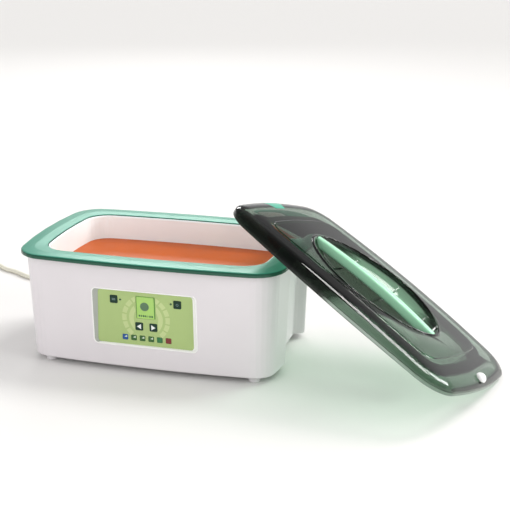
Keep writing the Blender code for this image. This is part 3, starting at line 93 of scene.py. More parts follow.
# Supply cord, in the bath's frame
CORD_DIAMETER = 0.007
CORD_LEVEL = 0.0038
CORD_EXIT = Vector((-0.130, 0.15045, 0.030))
COIL_CENTRE = (-0.500, 0.250)
COIL_OUTER_RADIUS = 0.048
COIL_PITCH = 1.09 * CORD_DIAMETER
COIL_LAYER_STEP = 1.08 * CORD_DIAMETER
COIL_TURNS = 5.25
COIL_START_TURN = 0.25
COIL_CLIMB_TURNS = 0.5
COIL_POINTS_PER_TURN = 24
CORD_STEP = 1.2 * CORD_DIAMETER
CORD_BEVEL = 4
ROUTE_SAMPLES = 20
FLOOR_ROUTE = (
    (-0.138, 0.190, 0.014),
    (-0.165, 0.213, 0.0046),
    (-0.215, 0.218, CORD_LEVEL),
    (-0.270, 0.213, CORD_LEVEL),
    (-0.315, 0.215, CORD_LEVEL),
    (-0.346, 0.224, CORD_LEVEL),
    (-0.376, 0.242, CORD_LEVEL),
    (-0.402, 0.253, CORD_LEVEL),
    (-0.428, 0.273, CORD_LEVEL),
    (-0.458, 0.294, CORD_LEVEL),
)
TAIL_ROUTE = ((-0.5495, 0.205, 0.0060), (-0.5520, 0.175, 0.0055))
TAIL_END = Vector((-0.5535, 0.134, 0.0133))

# Steepest angles between faces that are shaded as one, in degrees: most pieces, panel frame, cord and lid
SMOOTH = 35
PANEL_SMOOTH = 50
ROUND_SMOOTH = 60


def smooth_route(points, step):
    """Points at an even step along a smooth curve through the route's own."""
    places = [Vector(p) for p in points]
    padded = [2 * places[0] - places[1]] + places + [2 * places[-1] - places[-2]]
    fine = []
    for index in range(1, len(padded) - 2):
        a, b, c, d = padded[index - 1 : index + 3]
        for sample in range(ROUTE_SAMPLES):
            t = sample / ROUTE_SAMPLES
            curve = 2 * b + (c - a) * t + (2 * a - 5 * b + 4 * c - d) * t**2
            fine.append((curve + (3 * b - a - 3 * c + d) * t**3) / 2)
    fine = fine[ROUTE_SAMPLES : 1 - ROUTE_SAMPLES]
    lengths = [0.0]
    for first, second in zip(fine, fine[1:]):
        lengths.append(lengths[-1] + (second - first).length)
    count = max(2, round(lengths[-1] / step))
    route = [places[0]]
    place = 0
    for number in range(count + 1):
        target = lengths[-1] * number / count
        while place < len(fine) - 2 and lengths[place + 1] < target:
            place += 1
        share = (target - lengths[place]) / (lengths[place + 1] - lengths[place])
        route.append(fine[place].lerp(fine[place + 1], min(share, 1)))
    return [*route, places[-1]]


def coil_points():
    points = []
    for step in range(round(COIL_TURNS * COIL_POINTS_PER_TURN) + 1):
        turn = step / COIL_POINTS_PER_TURN
        from_end = COIL_TURNS / 2 - abs(turn - COIL_TURNS / 2)
        radius = COIL_OUTER_RADIUS - COIL_PITCH * from_end
        angle = math.tau * (COIL_START_TURN + turn)
        climb = min(max((turn - COIL_TURNS / 2) / COIL_CLIMB_TURNS + 0.5, 0), 1)
        rise = COIL_LAYER_STEP * climb**2 * (3 - 2 * climb)
        x = COIL_CENTRE[0] + radius * math.cos(angle)
        y = COIL_CENTRE[1] + radius * math.sin(angle)
        points.append(Vector((x, y, CORD_LEVEL + rise)))
    return points


def supply_cord():
    coil = coil_points()
    into = coil[0] + Vector((CORD_DIAMETER, 0, 0))
    out = coil[-1] - Vector((0, CORD_DIAMETER, 0))
    along_x, along_y = Vector((CORD_DIAMETER, 0, 0)), Vector((0, CORD_DIAMETER, 0))
    first = [CORD_EXIT, CORD_EXIT + along_y, *FLOOR_ROUTE, into + along_x, into]
    last = [out, out - along_y, *TAIL_ROUTE, TAIL_END + 2 * along_y, TAIL_END]
    route = [*smooth_route(first, CORD_STEP), *coil, *smooth_route(last, CORD_STEP)]
    route = [place + BATH for place in route]
    curve = bpy.data.curves.new("supply_cord", "CURVE")
    curve.dimensions = "3D"
    curve.bevel_depth = CORD_DIAMETER / 2
    curve.bevel_resolution = CORD_BEVEL
    curve.use_fill_caps = True
    spline = curve.splines.new("POLY")
    spline.points.add(len(route) - 1)
    for point, place in zip(spline.points, route):
        point.co = (*place, 1)
    spline.use_smooth = True
    line = link(bpy.data.objects.new("supply_line", curve))
    mesh = bpy.data.meshes.new_from_object(line.evaluated_get(bpy.context.evaluated_depsgraph_get()))
    bpy.data.objects.remove(line)
    mesh.shade_smooth()
    mesh.set_sharp_from_angle(angle=math.radians(ROUND_SMOOTH))
    return link(bpy.data.objects.new("supply_cord", mesh)), route


cord, cord_route = supply_cord()
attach(cord, "bath")
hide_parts("power_cord", "cord_coil", "plug_lead")


# Materials: moulded plastic and paint drift slowly in colour and gloss, and have a fine grain
DRIFT_SCALE = 14.0
DRIFT_DETAIL = 3.0
DRIFT_STOPS = (0.30, 0.70)
GLOSS_SCALE = 60.0
GLOSS_SPREAD = 0.12
FINE_DETAIL = 2.0
NOISE_ROUGHNESS = 0.55
GRAIN_STRENGTH = 0.25
CLEAR_ROUGHNESS = 0.02
CLEAR_IOR = 1.47

# Masks of the lid's painted shade and light, in the lid's frame: the dish's outline, arch and far side, then
# the band of painted dark reflection, which lies between the field's near edge and two slanting lines
DISH_MASK_HALF = (0.1135, 0.0895)
DISH_MASK_EDGE = (0.97, 1.0)
DISH_MASK_ARCH = 0.145
DISH_MASK_LEVELS = (0.0145, 0.0160)
DISH_FAR_SIDE = (0.040, 0.062)
BAND_BEND = 0.6
BAND_LEAST_BEND = -0.03
BAND_TOP = (-0.077, -0.073)
BAND_STEEP_LINE = (0.1646, 1.29)
BAND_SHALLOW_LINE = (0.1353, 0.41)
BAND_EDGE = (-0.003, 0.005)

# Upward parts of the faces' directions over which the rim's painted side shade gives way to its top
RIM_SIDE_TO_TOP = (0.45, 0.75)


def shader_of(made):
    return made.node_tree.nodes["Principled BSDF"]


def plain(name, colour, roughness, metallic=0.0, **extra):
    made = bpy.data.materials.new(name)
    made.use_nodes = True
    shader = shader_of(made)
    shader.inputs["Base Color"].default_value = (*colour, 1)
    shader.inputs["Roughness"].default_value = roughness
    shader.inputs["Metallic"].default_value = metallic
    for socket, value in extra.items():
        shader.inputs[socket.replace("_", " ")].default_value = value
    return made


def add(made, kind, **values):
    node = made.node_tree.nodes.new(kind)
    for name, value in values.items():
        setattr(node, name, value)
    return node


def wire(made, source, socket, target, entry):
    made.node_tree.links.new(source.outputs[socket], target.inputs[entry])


def noise(made, where, scale, detail):
    node = add(made, "ShaderNodeTexNoise")
    node.inputs["Scale"].default_value = scale
    node.inputs["Detail"].default_value = detail
    node.inputs["Roughness"].default_value = NOISE_ROUGHNESS
    wire(made, where, "Object", node, "Vector")
    return node.outputs["Fac"]


def ramp(made, value, stops):
    """A blend of two colours, each at its stop."""
    node = add(made, "ShaderNodeValToRGB")
    for element, (stop, colour) in zip(node.color_ramp.elements, stops):
        element.position = stop
        element.color = (*colour, 1)
    made.node_tree.links.new(value, node.inputs["Fac"])
    return node.outputs["Color"]


def blend(made, share, first, second):
    """A mix of two colours, which are numbers or outputs of other nodes."""
    node = add(made, "ShaderNodeMix", data_type="RGBA")
    made.node_tree.links.new(share, node.inputs[0])
    for entry, socket in ((first, node.inputs[6]), (second, node.inputs[7])):
        if isinstance(entry, tuple):
            socket.default_value = (*entry, 1)
        else:
            made.node_tree.links.new(entry, socket)
    return node.outputs[2]


def moulded(name, colour, roughness, grain=900.0, depth=0.00003, vary=0.05, metallic=0.0, **extra):
    """Moulded plastic or paint, with its drift of colour and gloss and its grain."""
    made = plain(name, colour, roughness, metallic, **extra)
    shader = shader_of(made)
    links = made.node_tree.links
    where = add(made, "ShaderNodeTexCoord")
    darker = tuple(c * (1 - vary) for c in colour)
    lighter = tuple(min(c * (1 + vary), 1) for c in colour)
    drift = noise(made, where, DRIFT_SCALE, DRIFT_DETAIL)
    links.new(ramp(made, drift, list(zip(DRIFT_STOPS, (darker, lighter)))), shader.inputs["Base Color"])
    least, most = roughness * (1 - GLOSS_SPREAD), roughness * (1 + GLOSS_SPREAD)
    gloss = between(made, noise(made, where, GLOSS_SCALE, FINE_DETAIL), (0, 1), (least, most))
    links.new(gloss, shader.inputs["Roughness"])
    bump = add(made, "ShaderNodeBump")
    bump.inputs["Strength"].default_value = GRAIN_STRENGTH
    bump.inputs["Distance"].default_value = depth
    links.new(noise(made, where, grain, FINE_DETAIL), bump.inputs["Height"])
    wire(made, bump, "Normal", shader, "Normal")
    return made


def calculate(made, operation, *entries):
    """A math node whose entries are numbers or outputs of other nodes."""
    node = add(made, "ShaderNodeMath", operation=operation)
    for entry, socket in zip(entries, node.inputs):
        if isinstance(entry, (int, float)):
            socket.default_value = entry
        else:
            made.node_tree.links.new(entry, socket)
    return node.outputs[0]


def between(made, value, source, target=(0, 1)):
    """The value's place in the first range, carried into the second and held inside it."""
    node = add(made, "ShaderNodeMapRange")
    for name, number in zip(("From Min", "From Max", "To Min", "To Max"), (*source, *target)):
        node.inputs[name].default_value = number
    made.node_tree.links.new(value, node.inputs["Value"])
    return node.outputs["Result"]


def squared(made, value):
    return calculate(made, "MULTIPLY", value, value)


def lid_place(made):
    """The place on the lid, along it, across it and up, in the lid's frame."""
    place = add(made, "ShaderNodeTexCoord")
    mapping = add(made, "ShaderNodeMapping", vector_type="TEXTURE")
    mapping.inputs["Location"].default_value = LID_PLACE
    mapping.inputs["Rotation"].default_value = LID_FRAME.to_euler()
    wire(made, place, "Object", mapping, "Vector")
    parts = add(made, "ShaderNodeSeparateXYZ")
    wire(made, mapping, "Vector", parts, "Vector")
    return parts.outputs


def above_line(made, x, y, line):
    """How far this place lies beyond a slanting line, across the lid."""
    offset, slope = line
    return calculate(made, "SUBTRACT", calculate(made, "ADD", y, offset), calculate(made, "MULTIPLY", x, slope))


def tint_lid(made, face, near, far, smoke, far_light_haze):
    """Painted shade on the dish's near side, painted light on its far side, where less light passes, and a
    painted dark reflection in a band beside the dish.
    """
    x, y, z = lid_place(made)
    shares = [calculate(made, "MULTIPLY", value, 1 / half) for value, half in zip((x, y), DISH_MASK_HALF)]
    distance = calculate(made, "ADD", *(squared(made, share) for share in shares))
    inside = between(made, distance, DISH_MASK_EDGE, (1, 0))
    level = calculate(made, "ADD", z, calculate(made, "MULTIPLY", squared(made, x), DISH_MASK_ARCH))
    bowl = calculate(made, "MULTIPLY", inside, between(made, level, DISH_MASK_LEVELS, (1, 0)))
    across = between(made, y, DISH_FAR_SIDE)
    # Painted shade at the dish's near side, painted light at its far side
    colour = blend(made, bowl, face, ramp(made, across, ((0.0, near), (1.0, far))))

    # Painted dark reflection: a near-black band beside the dish, outside it
    bend = calculate(made, "MAXIMUM", calculate(made, "MULTIPLY", x, BAND_BEND), BAND_LEAST_BEND)
    before = between(made, calculate(made, "SUBTRACT", y, bend), BAND_TOP, (1, 0))
    slants = [above_line(made, x, y, line) for line in (BAND_STEEP_LINE, BAND_SHALLOW_LINE)]
    beyond = between(made, calculate(made, "MINIMUM", *slants), BAND_EDGE)
    outside = calculate(made, "SUBTRACT", 1, inside)
    band = calculate(made, "MULTIPLY", outside, calculate(made, "MULTIPLY", before, beyond))
    shader = shader_of(made)
    made.node_tree.links.new(blend(made, band, colour, smoke), shader.inputs["Base Color"])

    # Painted light: the dish's far side lets less light through and shows more of its light colour
    lit_far_side = calculate(made, "MULTIPLY", calculate(made, "MULTIPLY", bowl, across), far_light_haze)
    made.node_tree.links.new(calculate(made, "SUBTRACT", 1, lit_far_side), shader.inputs["Transmission Weight"])


def shade_rim_sides(made, side_shade):
    """Painted shade: upright faces take a darker colour than the satin top."""
    shader = shader_of(made)
    top = shader.inputs["Base Color"].links[0].from_socket
    facing = add(made, "ShaderNodeNewGeometry")
    parts = add(made, "ShaderNodeSeparateXYZ")
    wire(made, facing, "Normal", parts, "Vector")
    flat = between(made, parts.outputs["Z"], RIM_SIDE_TO_TOP)
    made.node_tree.links.new(blend(made, flat, side_shade, top), shader.inputs["Base Color"])


def see_through(name, face, tint, density, shade):
    """Clear plastic with colour in its depth, whose shadow is light in its own tint."""
    made = plain(name, face, CLEAR_ROUGHNESS)
    shader = shader_of(made)
    shader.inputs["Transmission Weight"].default_value = 1.0
    shader.inputs["IOR"].default_value = CLEAR_IOR
    passing = add(made, "ShaderNodeBsdfTransparent")
    passing.inputs["Color"].default_value = (*shade, 1)
    depth = add(made, "ShaderNodeVolumeAbsorption")
    depth.inputs["Color"].default_value = (*tint, 1)
    depth.inputs["Density"].default_value = density
    path = add(made, "ShaderNodeLightPath")
    mix = add(made, "ShaderNodeMixShader")
    tree = made.node_tree
    tree.links.new(path.outputs["Is Shadow Ray"], mix.inputs[0])
    tree.links.new(shader.outputs["BSDF"], mix.inputs[1])
    tree.links.new(passing.outputs["BSDF"], mix.inputs[2])
    output = next(n for n in tree.nodes if n.type == "OUTPUT_MATERIAL")
    tree.links.new(mix.outputs["Shader"], output.inputs["Surface"])
    tree.links.new(depth.outputs["Volume"], output.inputs["Volume"])
    return made


LID_FACE = (0.64, 0.66, 0.64)
LOOKS = {
    "housing": moulded(
        "housing_look", (0.745, 0.708, 0.730), 0.36, vary=0.012, Coat_Weight=0.2, Coat_Roughness=0.2
    ),
    "rim": moulded(
        "rim_look",
        (0.050, 0.31, 0.21),
        0.30,
        grain=600.0,
        vary=0.06,
        metallic=0.2,
        Coat_Weight=0.12,
        Coat_Roughness=0.24,
    ),
    "enamel": moulded("enamel_look", (0.91, 0.975, 1.0), 0.25, vary=0.02),
    "wax": moulded(
        "wax_look", (0.56, 0.105, 0.008), 0.38, grain=40.0, depth=0.0002, vary=0.06, Specular_IOR_Level=0.15
    ),
    "base": moulded("base_look", (0.55, 0.55, 0.56), 0.55),
    "foot": moulded("foot_look", (0.70, 0.68, 0.69), 0.70, grain=1500.0, depth=0.00005),
    "steel": moulded("steel_look", (0.58, 0.58, 0.60), 0.32, vary=0.06, metallic=1.0),
    "board": moulded("board_look", (0.03, 0.20, 0.07), 0.45),
    "core": moulded("core_look", (0.20, 0.20, 0.22), 0.5, metallic=0.5),
    "heater": moulded("heater_look", (0.42, 0.09, 0.05), 0.6),
    "felt": moulded("felt_look", (0.72, 0.70, 0.62), 0.92, grain=2500.0, depth=0.0002),
    "film": moulded("film_look", (0.40, 0.53, 0.20), 0.33, vary=0.04),
    "lcd": moulded("lcd_look", (0.38, 0.63, 0.15), 0.18, vary=0.12),
    "key": moulded("key_look", (0.008, 0.036, 0.022), 0.45, Specular_IOR_Level=0.3),
    "blue": moulded("lamp_blue_look", (0.018, 0.085, 0.30), 0.25),
    "green": moulded("lamp_green_look", (0.036, 0.12, 0.028), 0.25),
    "leaf": moulded("lamp_leaf_look", (0.03, 0.17, 0.055), 0.25),
    "red": moulded("lamp_red_look", (0.19, 0.024, 0.022), 0.25),
    "vent": moulded("vent_look", (0.88, 0.88, 0.87), 0.35),
    "tab": moulded("tab_look", (0.05, 0.42, 0.28), 0.22, vary=0.04),
    "cord": moulded("cord_look", (0.80, 0.78, 0.66), 0.45),
    "pin": moulded("pin_look", (0.72, 0.68, 0.58), 0.28, metallic=1.0),
    "mark_white": moulded("mark_white_look", (0.85, 0.88, 0.86), 0.5, vary=0.02),
    # Whiter than the housing: a painted highlight on the panel's raised bead
    "bead": moulded("bead_highlight_look", (0.93, 0.92, 0.91), 0.3, vary=0.01),
    # Painted shade for the panel frame's left slopes
    "slope_shade": moulded("slope_shade_look", (0.40, 0.42, 0.38), 0.45, vary=0.05),
    "mark_tick": moulded("mark_tick_look", (0.60, 0.72, 0.55), 0.5, vary=0.04),
    "mark_grey": moulded("mark_grey_look", (0.20, 0.30, 0.29), 0.5, vary=0.08),
    "mark_pale": moulded("mark_pale_look", (0.52, 0.62, 0.28), 0.45, vary=0.08),
    "mark_dark": moulded("mark_dark_look", (0.045, 0.12, 0.05), 0.5, vary=0.08),
    "mark_blob": moulded("mark_blob_look", (0.10, 0.19, 0.10), 0.5, vary=0.15),
    "mark_edge": moulded("mark_edge_look", (0.07, 0.22, 0.03), 0.4, vary=0.05),
    "glass": see_through("lid_look", LID_FACE, tint=(0.345, 0.51, 0.40), density=425, shade=(0.97, 1.0, 0.98)),
    "grip": moulded("grip_look", (0.43, 0.84, 0.56), 0.14, vary=0.03),
}
# The lid's painted shade and light: a dark near side and a light far side in the dish, and a painted dark
# reflection in a band beside it
tint_lid(
    LOOKS["glass"],
    LID_FACE,
    near=(0.10, 0.135, 0.10),
    far=(0.36, 0.60, 0.42),
    smoke=(0.035, 0.039, 0.032),
    far_light_haze=0.42,
)
# Painted shade on the rim's upright sides
shade_rim_sides(LOOKS["rim"], (0.010, 0.085, 0.050))
NODE_LOOKS = {
    "housing": "housing",
    "rim_frame": "rim",
    "inner_tank": "enamel",
    "wax_fill": "wax",
    "base_plate": "base",
    "heater_mat": "heater",
    "insulation_jacket": "felt",
    "thermal_cutout": "steel",
    "temperature_probe": "steel",
    "control_board": "board",
    "power_board": "board",
    "transformer": "core",
    "terminal_block": "base",
    "inner_lead": "cord",
    "strain_relief": "cord",
    "mains_plug": "cord",
    "plug_pin_left": "pin",
    "plug_pin_right": "pin",
    "power_cord": "cord",
    "cord_coil": "cord",
    "plug_lead": "cord",
    "panel_film": "film",
    "lcd_module": "lcd",
    "status_lamp_left": "mark_dark",
    "status_lamp_right": "mark_dark",
    "mode_lamp_1": "blue",
    "mode_lamp_5": "leaf",
    "mode_lamp_6": "red",
    "lid_shell": "glass",
    "lid_grip": "grip",
    "lid_tab": "tab",
    "vent_plug": "vent",
}


LOOKS_BY_START = {
    "foot": "foot",
    "base_screw": "steel",
    "board_screw": "steel",
    "key": "key",
    "mode_lamp": "green",
}


def look_of(node):
    for start, look in LOOKS_BY_START.items():
        if node.startswith(start) and node not in NODE_LOOKS:
            return LOOKS[look]
    return LOOKS[NODE_LOOKS[node]]


for node_name, node in NODES.items():
    node.data.materials.clear()
    node.data.materials.append(look_of(node_name))
cord.data.materials.clear()
cord.data.materials.append(LOOKS["cord"])


# Forms
def shape(name, vertices, faces, look, slot, body, matrix, smooth=SMOOTH):
    """A visible piece from points in the frame of its part, which rides a body."""
    mesh = bpy.data.meshes.new(name)
    mesh.from_pydata([tuple(v) for v in vertices], [], faces)
    mesh.update()
    if smooth:
        mesh.shade_smooth()
        mesh.set_sharp_from_angle(angle=math.radians(smooth))
    mesh.materials.append(LOOKS[look])
    made = link(bpy.data.objects.new(name, mesh))
    mesh.transform(matrix)
    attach(made, body)
    return made


def signed_volume(vertices, faces):
    total = 0
    for face in faces:
        first = vertices[face[0]]
        for second, third in zip(face[1:], face[2:]):
            total += first.dot(vertices[second].cross(vertices[third]))
    return total


def loft(rings, closed=False):
    """A solid through the rings, capped at both ends or closed round from the last to the first."""
    count = len(rings[0])
    vertices = [Vector(point) for ring in rings for point in ring]
    faces = []
    for span in range(len(rings) - (not closed)):
        low, high = span * count, (span + 1) % len(rings) * count
        for step in range(count):
            after = (step + 1) % count
            faces.append([low + step, low + after, high + after, high + step])
    if not closed:
        faces.append(list(range(count))[::-1])
        faces.append([(len(rings) - 1) * count + step for step in range(count)])
    if signed_volume(vertices, faces) < 0:
        faces = [face[::-1] for face in faces]
    return vertices, faces


def joined(shapes):
    vertices = []
    faces = []
    for more_vertices, more_faces in shapes:
        start = len(vertices)
        vertices += more_vertices
        faces += [[start + index for index in face] for face in more_faces]
    return vertices, faces


def rounded_rectangle(half_width, half_height, radius, steps):
    points = []
    for quarter, (sx, sy) in enumerate(((1, 1), (-1, 1), (-1, -1), (1, -1))):
        for step in range(steps + 1):
            angle = math.radians(90) * (quarter + step / steps)
            x = sx * (half_width - radius) + radius * math.cos(angle)
            y = sy * (half_height - radius) + radius * math.sin(angle)
            points.append((x, y))
    return points


def at_height(outline, height):
    return [(x, y, height) for x, y in outline]


def bowed_outline(half_x, half_y, bow_y, bow_x, corner, steps):
    """A rounded rectangle with bowed sides, its arcs meeting smoothly."""
    side_steps, corner_steps, front_steps = steps
    front_centre = Vector((0, half_y - bow_y))
    side_centre = Vector((half_x - bow_x, 0))
    front_reach = bow_y - corner
    side_reach = bow_x - corner
    gap = side_centre - front_centre
    along = (front_reach**2 - side_reach**2 + gap.length**2) / (2 * gap.length)
    across = math.sqrt(max(front_reach**2 - along**2, 0))
    unit = gap.normalized()
    corner_centre = front_centre + unit * along + Vector((unit.y, -unit.x)) * across
    to_side = corner_centre - side_centre
    to_front = corner_centre - front_centre
    first = math.atan2(to_side.y, to_side.x)
    second = math.atan2(to_front.y, to_front.x)
    quarter = []
    for step in range(side_steps):
        angle = first * step / side_steps
        quarter.append(side_centre + bow_x * Vector((math.cos(angle), math.sin(angle))))
    for step in range(corner_steps):
        angle = first + (second - first) * step / corner_steps
        quarter.append(corner_centre + corner * Vector((math.cos(angle), math.sin(angle))))
    for step in range(front_steps + 1):
        angle = second + (math.radians(90) - second) * step / front_steps
        quarter.append(front_centre + bow_y * Vector((math.cos(angle), math.sin(angle))))
    points = [(p.x, p.y) for p in quarter]
    points += [(-p.x, p.y) for p in reversed(quarter[:-1])]
    points += [(-p.x, -p.y) for p in quarter[1:]]
    points += [(p.x, -p.y) for p in reversed(quarter[1:-1])]
    return points


# Lid, in its own frame, with the solids' sizes and finer steps
RIM_HALF = (0.200, 0.133)
RIM_CORNER = 0.0445
OPENING_HALF = (0.1664, 0.1012)
OPENING_CORNER = 0.036
BOWS = (2.15, 0.63)
LID_STEPS = (6, 16, 14)
ARC_STEPS = 12
OVERHANG = 0.0030
FACET_MARGIN = 0.0004
SKIRT_WALL = 0.0026
SKIRT_HEIGHT = 0.0065
SEAT = 0.0040
SEAT_WIDTH = 0.0030
SHOULDER_WIDTH = 0.018
SHOULDER_RISE = 0.00645
WALL = 0.0026
CROWN = 0.0060
FIELD_SLOPE = 0.0004
FIELD_HALF = (0.1505, 0.0955)
FIELD_CORNER = 0.030
FIELD_STEP = 0.0013
DISH_HALF = (0.1106, 0.0865)
DISH_POWER = 1.8
DISH_DEPTH = 0.024
DISH_LIP = 0.0026
DISH_FLAT = 0.12
LOCATING_INSET = 0.0045
LOCATING_WALL = 0.0025
LOCATING_DROP = 0.0016
LOCATING_TIP = 0.0004
LOCATING_ROOT = 0.0006
SHOULDER_TOP = SKIRT_HEIGHT + SHOULDER_RISE
FIELD_FOOT = SHOULDER_TOP + FIELD_SLOPE
DISH_RIM = FIELD_FOOT + FIELD_STEP + FIELD_SLOPE
# Profiles, as insets with heights: the dish's lip in degrees, the field's edge in its steps
LIP_ANGLES = (30, 60, 90, 120, 150)
LIP_FOOT = 1.3
FIELD_PROFILE = ((1.6, 1.0), (1.0, 1.0), (0.8, 0.9), (0.2, 0.1), (0, 0), (-0.6, 0))
SKIRT_PROFILE = (
    (0, 0.0012),
    (0, 0.0006),
    (0.0002, 0.0002),
    (0.0006, 0),
    (SKIRT_WALL - 0.0004, 0),
    (SKIRT_WALL, 0.0004),
    (SKIRT_WALL, SEAT),
)


def lid_outline(inset):
    inset -= OVERHANG - FACET_MARGIN
    sizes = (*RIM_HALF, *BOWS, RIM_CORNER)
    return bowed_outline(*(size - inset for size in sizes), LID_STEPS)


def locating_outline(inset):
    inset += LOCATING_INSET
    sizes = (*OPENING_HALF, *BOWS, OPENING_CORNER)
    return bowed_outline(*(size - inset for size in sizes), LID_STEPS)


def field_outline(inset):
    return bowed_outline(FIELD_HALF[0] - inset, FIELD_HALF[1] - inset, *BOWS, FIELD_CORNER - inset, LID_STEPS)


def dish_outline(inset, share=1):
    half_x = (DISH_HALF[0] - inset) * share
    half_y = (DISH_HALF[1] - inset) * share
    points = []
    for x, y in lid_outline(0):
        angle = math.atan2(y / RIM_HALF[1], x / RIM_HALF[0])
        along, across = math.cos(angle), math.sin(angle)
        px = half_x * math.copysign(abs(along) ** (2 / DISH_POWER), along)
        py = half_y * math.copysign(abs(across) ** (2 / DISH_POWER), across)
        points.append((px, py))
    return points


def crown_at(x):
    return CROWN * (1 - (x / (RIM_HALF[0] + OVERHANG)) ** 2)


def crowned(outline, height, share):
    return [(x, y, height + share * crown_at(x)) for x, y in outline]


def arc_angles(first=0.0):
    return [first + (math.radians(90) - first) * step / ARC_STEPS for step in range(ARC_STEPS + 1)]


def dish_rings(inset, depth, first=0.0):
    rings = []
    for angle in arc_angles(first):
        share = max(math.cos(angle), DISH_FLAT)
        rings.append(crowned(dish_outline(inset, share), DISH_RIM - depth * math.sin(angle), share))
    return rings


def shoulder_rings():
    rings = []
    for angle in arc_angles():
        height = SKIRT_HEIGHT + SHOULDER_RISE * math.sin(angle)
        rings.append(crowned(lid_outline(SHOULDER_WIDTH * (1 - math.cos(angle))), height, math.sin(angle)))
    return rings


def lid_rings():
    ceiling = SHOULDER_TOP - WALL
    under_dish = math.asin(WALL / (DISH_DEPTH + WALL))
    seat_inset = SKIRT_WALL + SEAT_WIDTH
    rings = dish_rings(DISH_LIP, DISH_DEPTH)[::-1]
    for angle in LIP_ANGLES:
        turn = math.radians(angle)
        inset = DISH_LIP * math.cos(turn)
        rings.append(crowned(dish_outline(inset), DISH_RIM + DISH_LIP / 2 * math.sin(turn), 1))
    for share in (1, LIP_FOOT):
        rings.append(crowned(dish_outline(-DISH_LIP * share), DISH_RIM, 1))
    for inset, height in FIELD_PROFILE:
        rings.append(crowned(field_outline(FIELD_STEP * inset), FIELD_FOOT + FIELD_STEP * height, 1))
    rings += shoulder_rings()[::-1]
    rings += [at_height(lid_outline(inset), height) for inset, height in SKIRT_PROFILE]
    for angle in arc_angles():
        inset = seat_inset + (SHOULDER_WIDTH - seat_inset) * (1 - math.cos(angle))
        height = SEAT + (ceiling - SEAT) * math.sin(angle)
        rings.append(crowned(lid_outline(inset), height, math.sin(angle)))
    rings += [
        crowned(locating_outline(-LOCATING_ROOT), ceiling, 1),
        crowned(locating_outline(0), ceiling - LOCATING_ROOT, 1),
        at_height(locating_outline(0), LOCATING_TIP - LOCATING_DROP),
        at_height(locating_outline(LOCATING_TIP), -LOCATING_DROP),
        at_height(locating_outline(LOCATING_WALL - LOCATING_TIP), -LOCATING_DROP),
        at_height(locating_outline(LOCATING_WALL), LOCATING_TIP - LOCATING_DROP),
        crowned(locating_outline(LOCATING_WALL), ceiling - LOCATING_ROOT, 1),
        crowned(locating_outline(LOCATING_WALL + LOCATING_ROOT), ceiling, 1),
    ]
    return rings + dish_rings(-WALL, DISH_DEPTH + WALL, under_dish)


lid = shape("lid_clear", *loft(lid_rings()), "glass", "lid_smoke", "lid", LID_FRAME, ROUND_SMOOTH)
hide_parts("lid_shell")

# Bar of the lid, cut at its ends by the dish
GRIP_WIDTH = 0.015
GRIP_HEIGHT = 0.014
GRIP_EDGE = 0.0035
GRIP_RISE = 0.0040
GRIP_TAPER = 0.30
GRIP_STATIONS = 32
GRIP_EDGE_STEPS = 5
GRIP_PLAY = 0.0003
ROOM_ABOVE = 0.01


def grip_shape():
    outline = rounded_rectangle(GRIP_WIDTH / 2, GRIP_HEIGHT / 2, GRIP_EDGE, GRIP_EDGE_STEPS)
    sections = []
    for step in range(-GRIP_STATIONS, GRIP_STATIONS + 1):
        share = step / GRIP_STATIONS
        x = DISH_HALF[0] * share
        top = DISH_RIM + crown_at(x) + GRIP_RISE * (1 - share**2)
        narrowing = 1 - GRIP_TAPER * share**2
        sections.append([(x, y * narrowing, top - GRIP_HEIGHT / 2 + z) for y, z in outline])
    return loft(sections)


def settle(made, smooth):
    """Makes the modifiers of a piece into its mesh."""
    graph = bpy.context.evaluated_depsgraph_get()
    mesh = bpy.data.meshes.new_from_object(made.evaluated_get(graph))
    made.modifiers.clear()
    made.data = mesh
    mesh.shade_smooth()
    mesh.set_sharp_from_angle(angle=math.radians(smooth))


def tool(name, vertices, faces):
    """A form in the lid's frame that is only there to cut or to join."""
    mesh = bpy.data.meshes.new(name)
    mesh.from_pydata([tuple(v) for v in vertices], [], faces)
    mesh.transform(LID_FRAME)
    return link(bpy.data.objects.new(name, mesh))


def combine(made, other, operation, smooth):
    modifier = made.modifiers.new(other.name, "BOOLEAN")
    modifier.object = other
    modifier.operation = operation
    modifier.solver = "EXACT"
    bpy.context.view_layer.update()
    settle(made, smooth)
    bpy.data.objects.remove(other)


grip = shape("lid_bar", *grip_shape(), "grip", "grip_mint", "lid", LID_FRAME)
above = at_height(dish_outline(DISH_LIP + GRIP_PLAY), DISH_RIM + GRIP_RISE + CROWN + ROOM_ABOVE)
room = loft([above, *dish_rings(DISH_LIP + GRIP_PLAY, DISH_DEPTH - GRIP_PLAY)])
combine(grip, tool("room", *room), "INTERSECT", SMOOTH)
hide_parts("lid_grip")

# Low ribs across the dish
RIB_SHARES = (-0.54, 0.06, 0.65)
RIB_HALF_THICKNESS = 0.0009
RIB_HEIGHT = 0.0026
RIB_ROOT = 0.0003
RIB_REACH = 0.97
RIB_TAPER = 0.7
RIB_END_SLOPE = 8
RIB_END_SHARE = 0.1
RIB_SAMPLES = 40
BOWL_HALF = (DISH_HALF[0] - DISH_LIP, DISH_HALF[1] - DISH_LIP)


def dish_floor(x, y):
    """Height of the dish's surface at a place inside it."""
    share = (abs(x / BOWL_HALF[0]) ** DISH_POWER + abs(y / BOWL_HALF[1]) ** DISH_POWER) ** (1 / DISH_POWER)
    share = max(share, DISH_FLAT)
    return DISH_RIM - DISH_DEPTH * math.sqrt(1 - share**2) + share * crown_at(x)


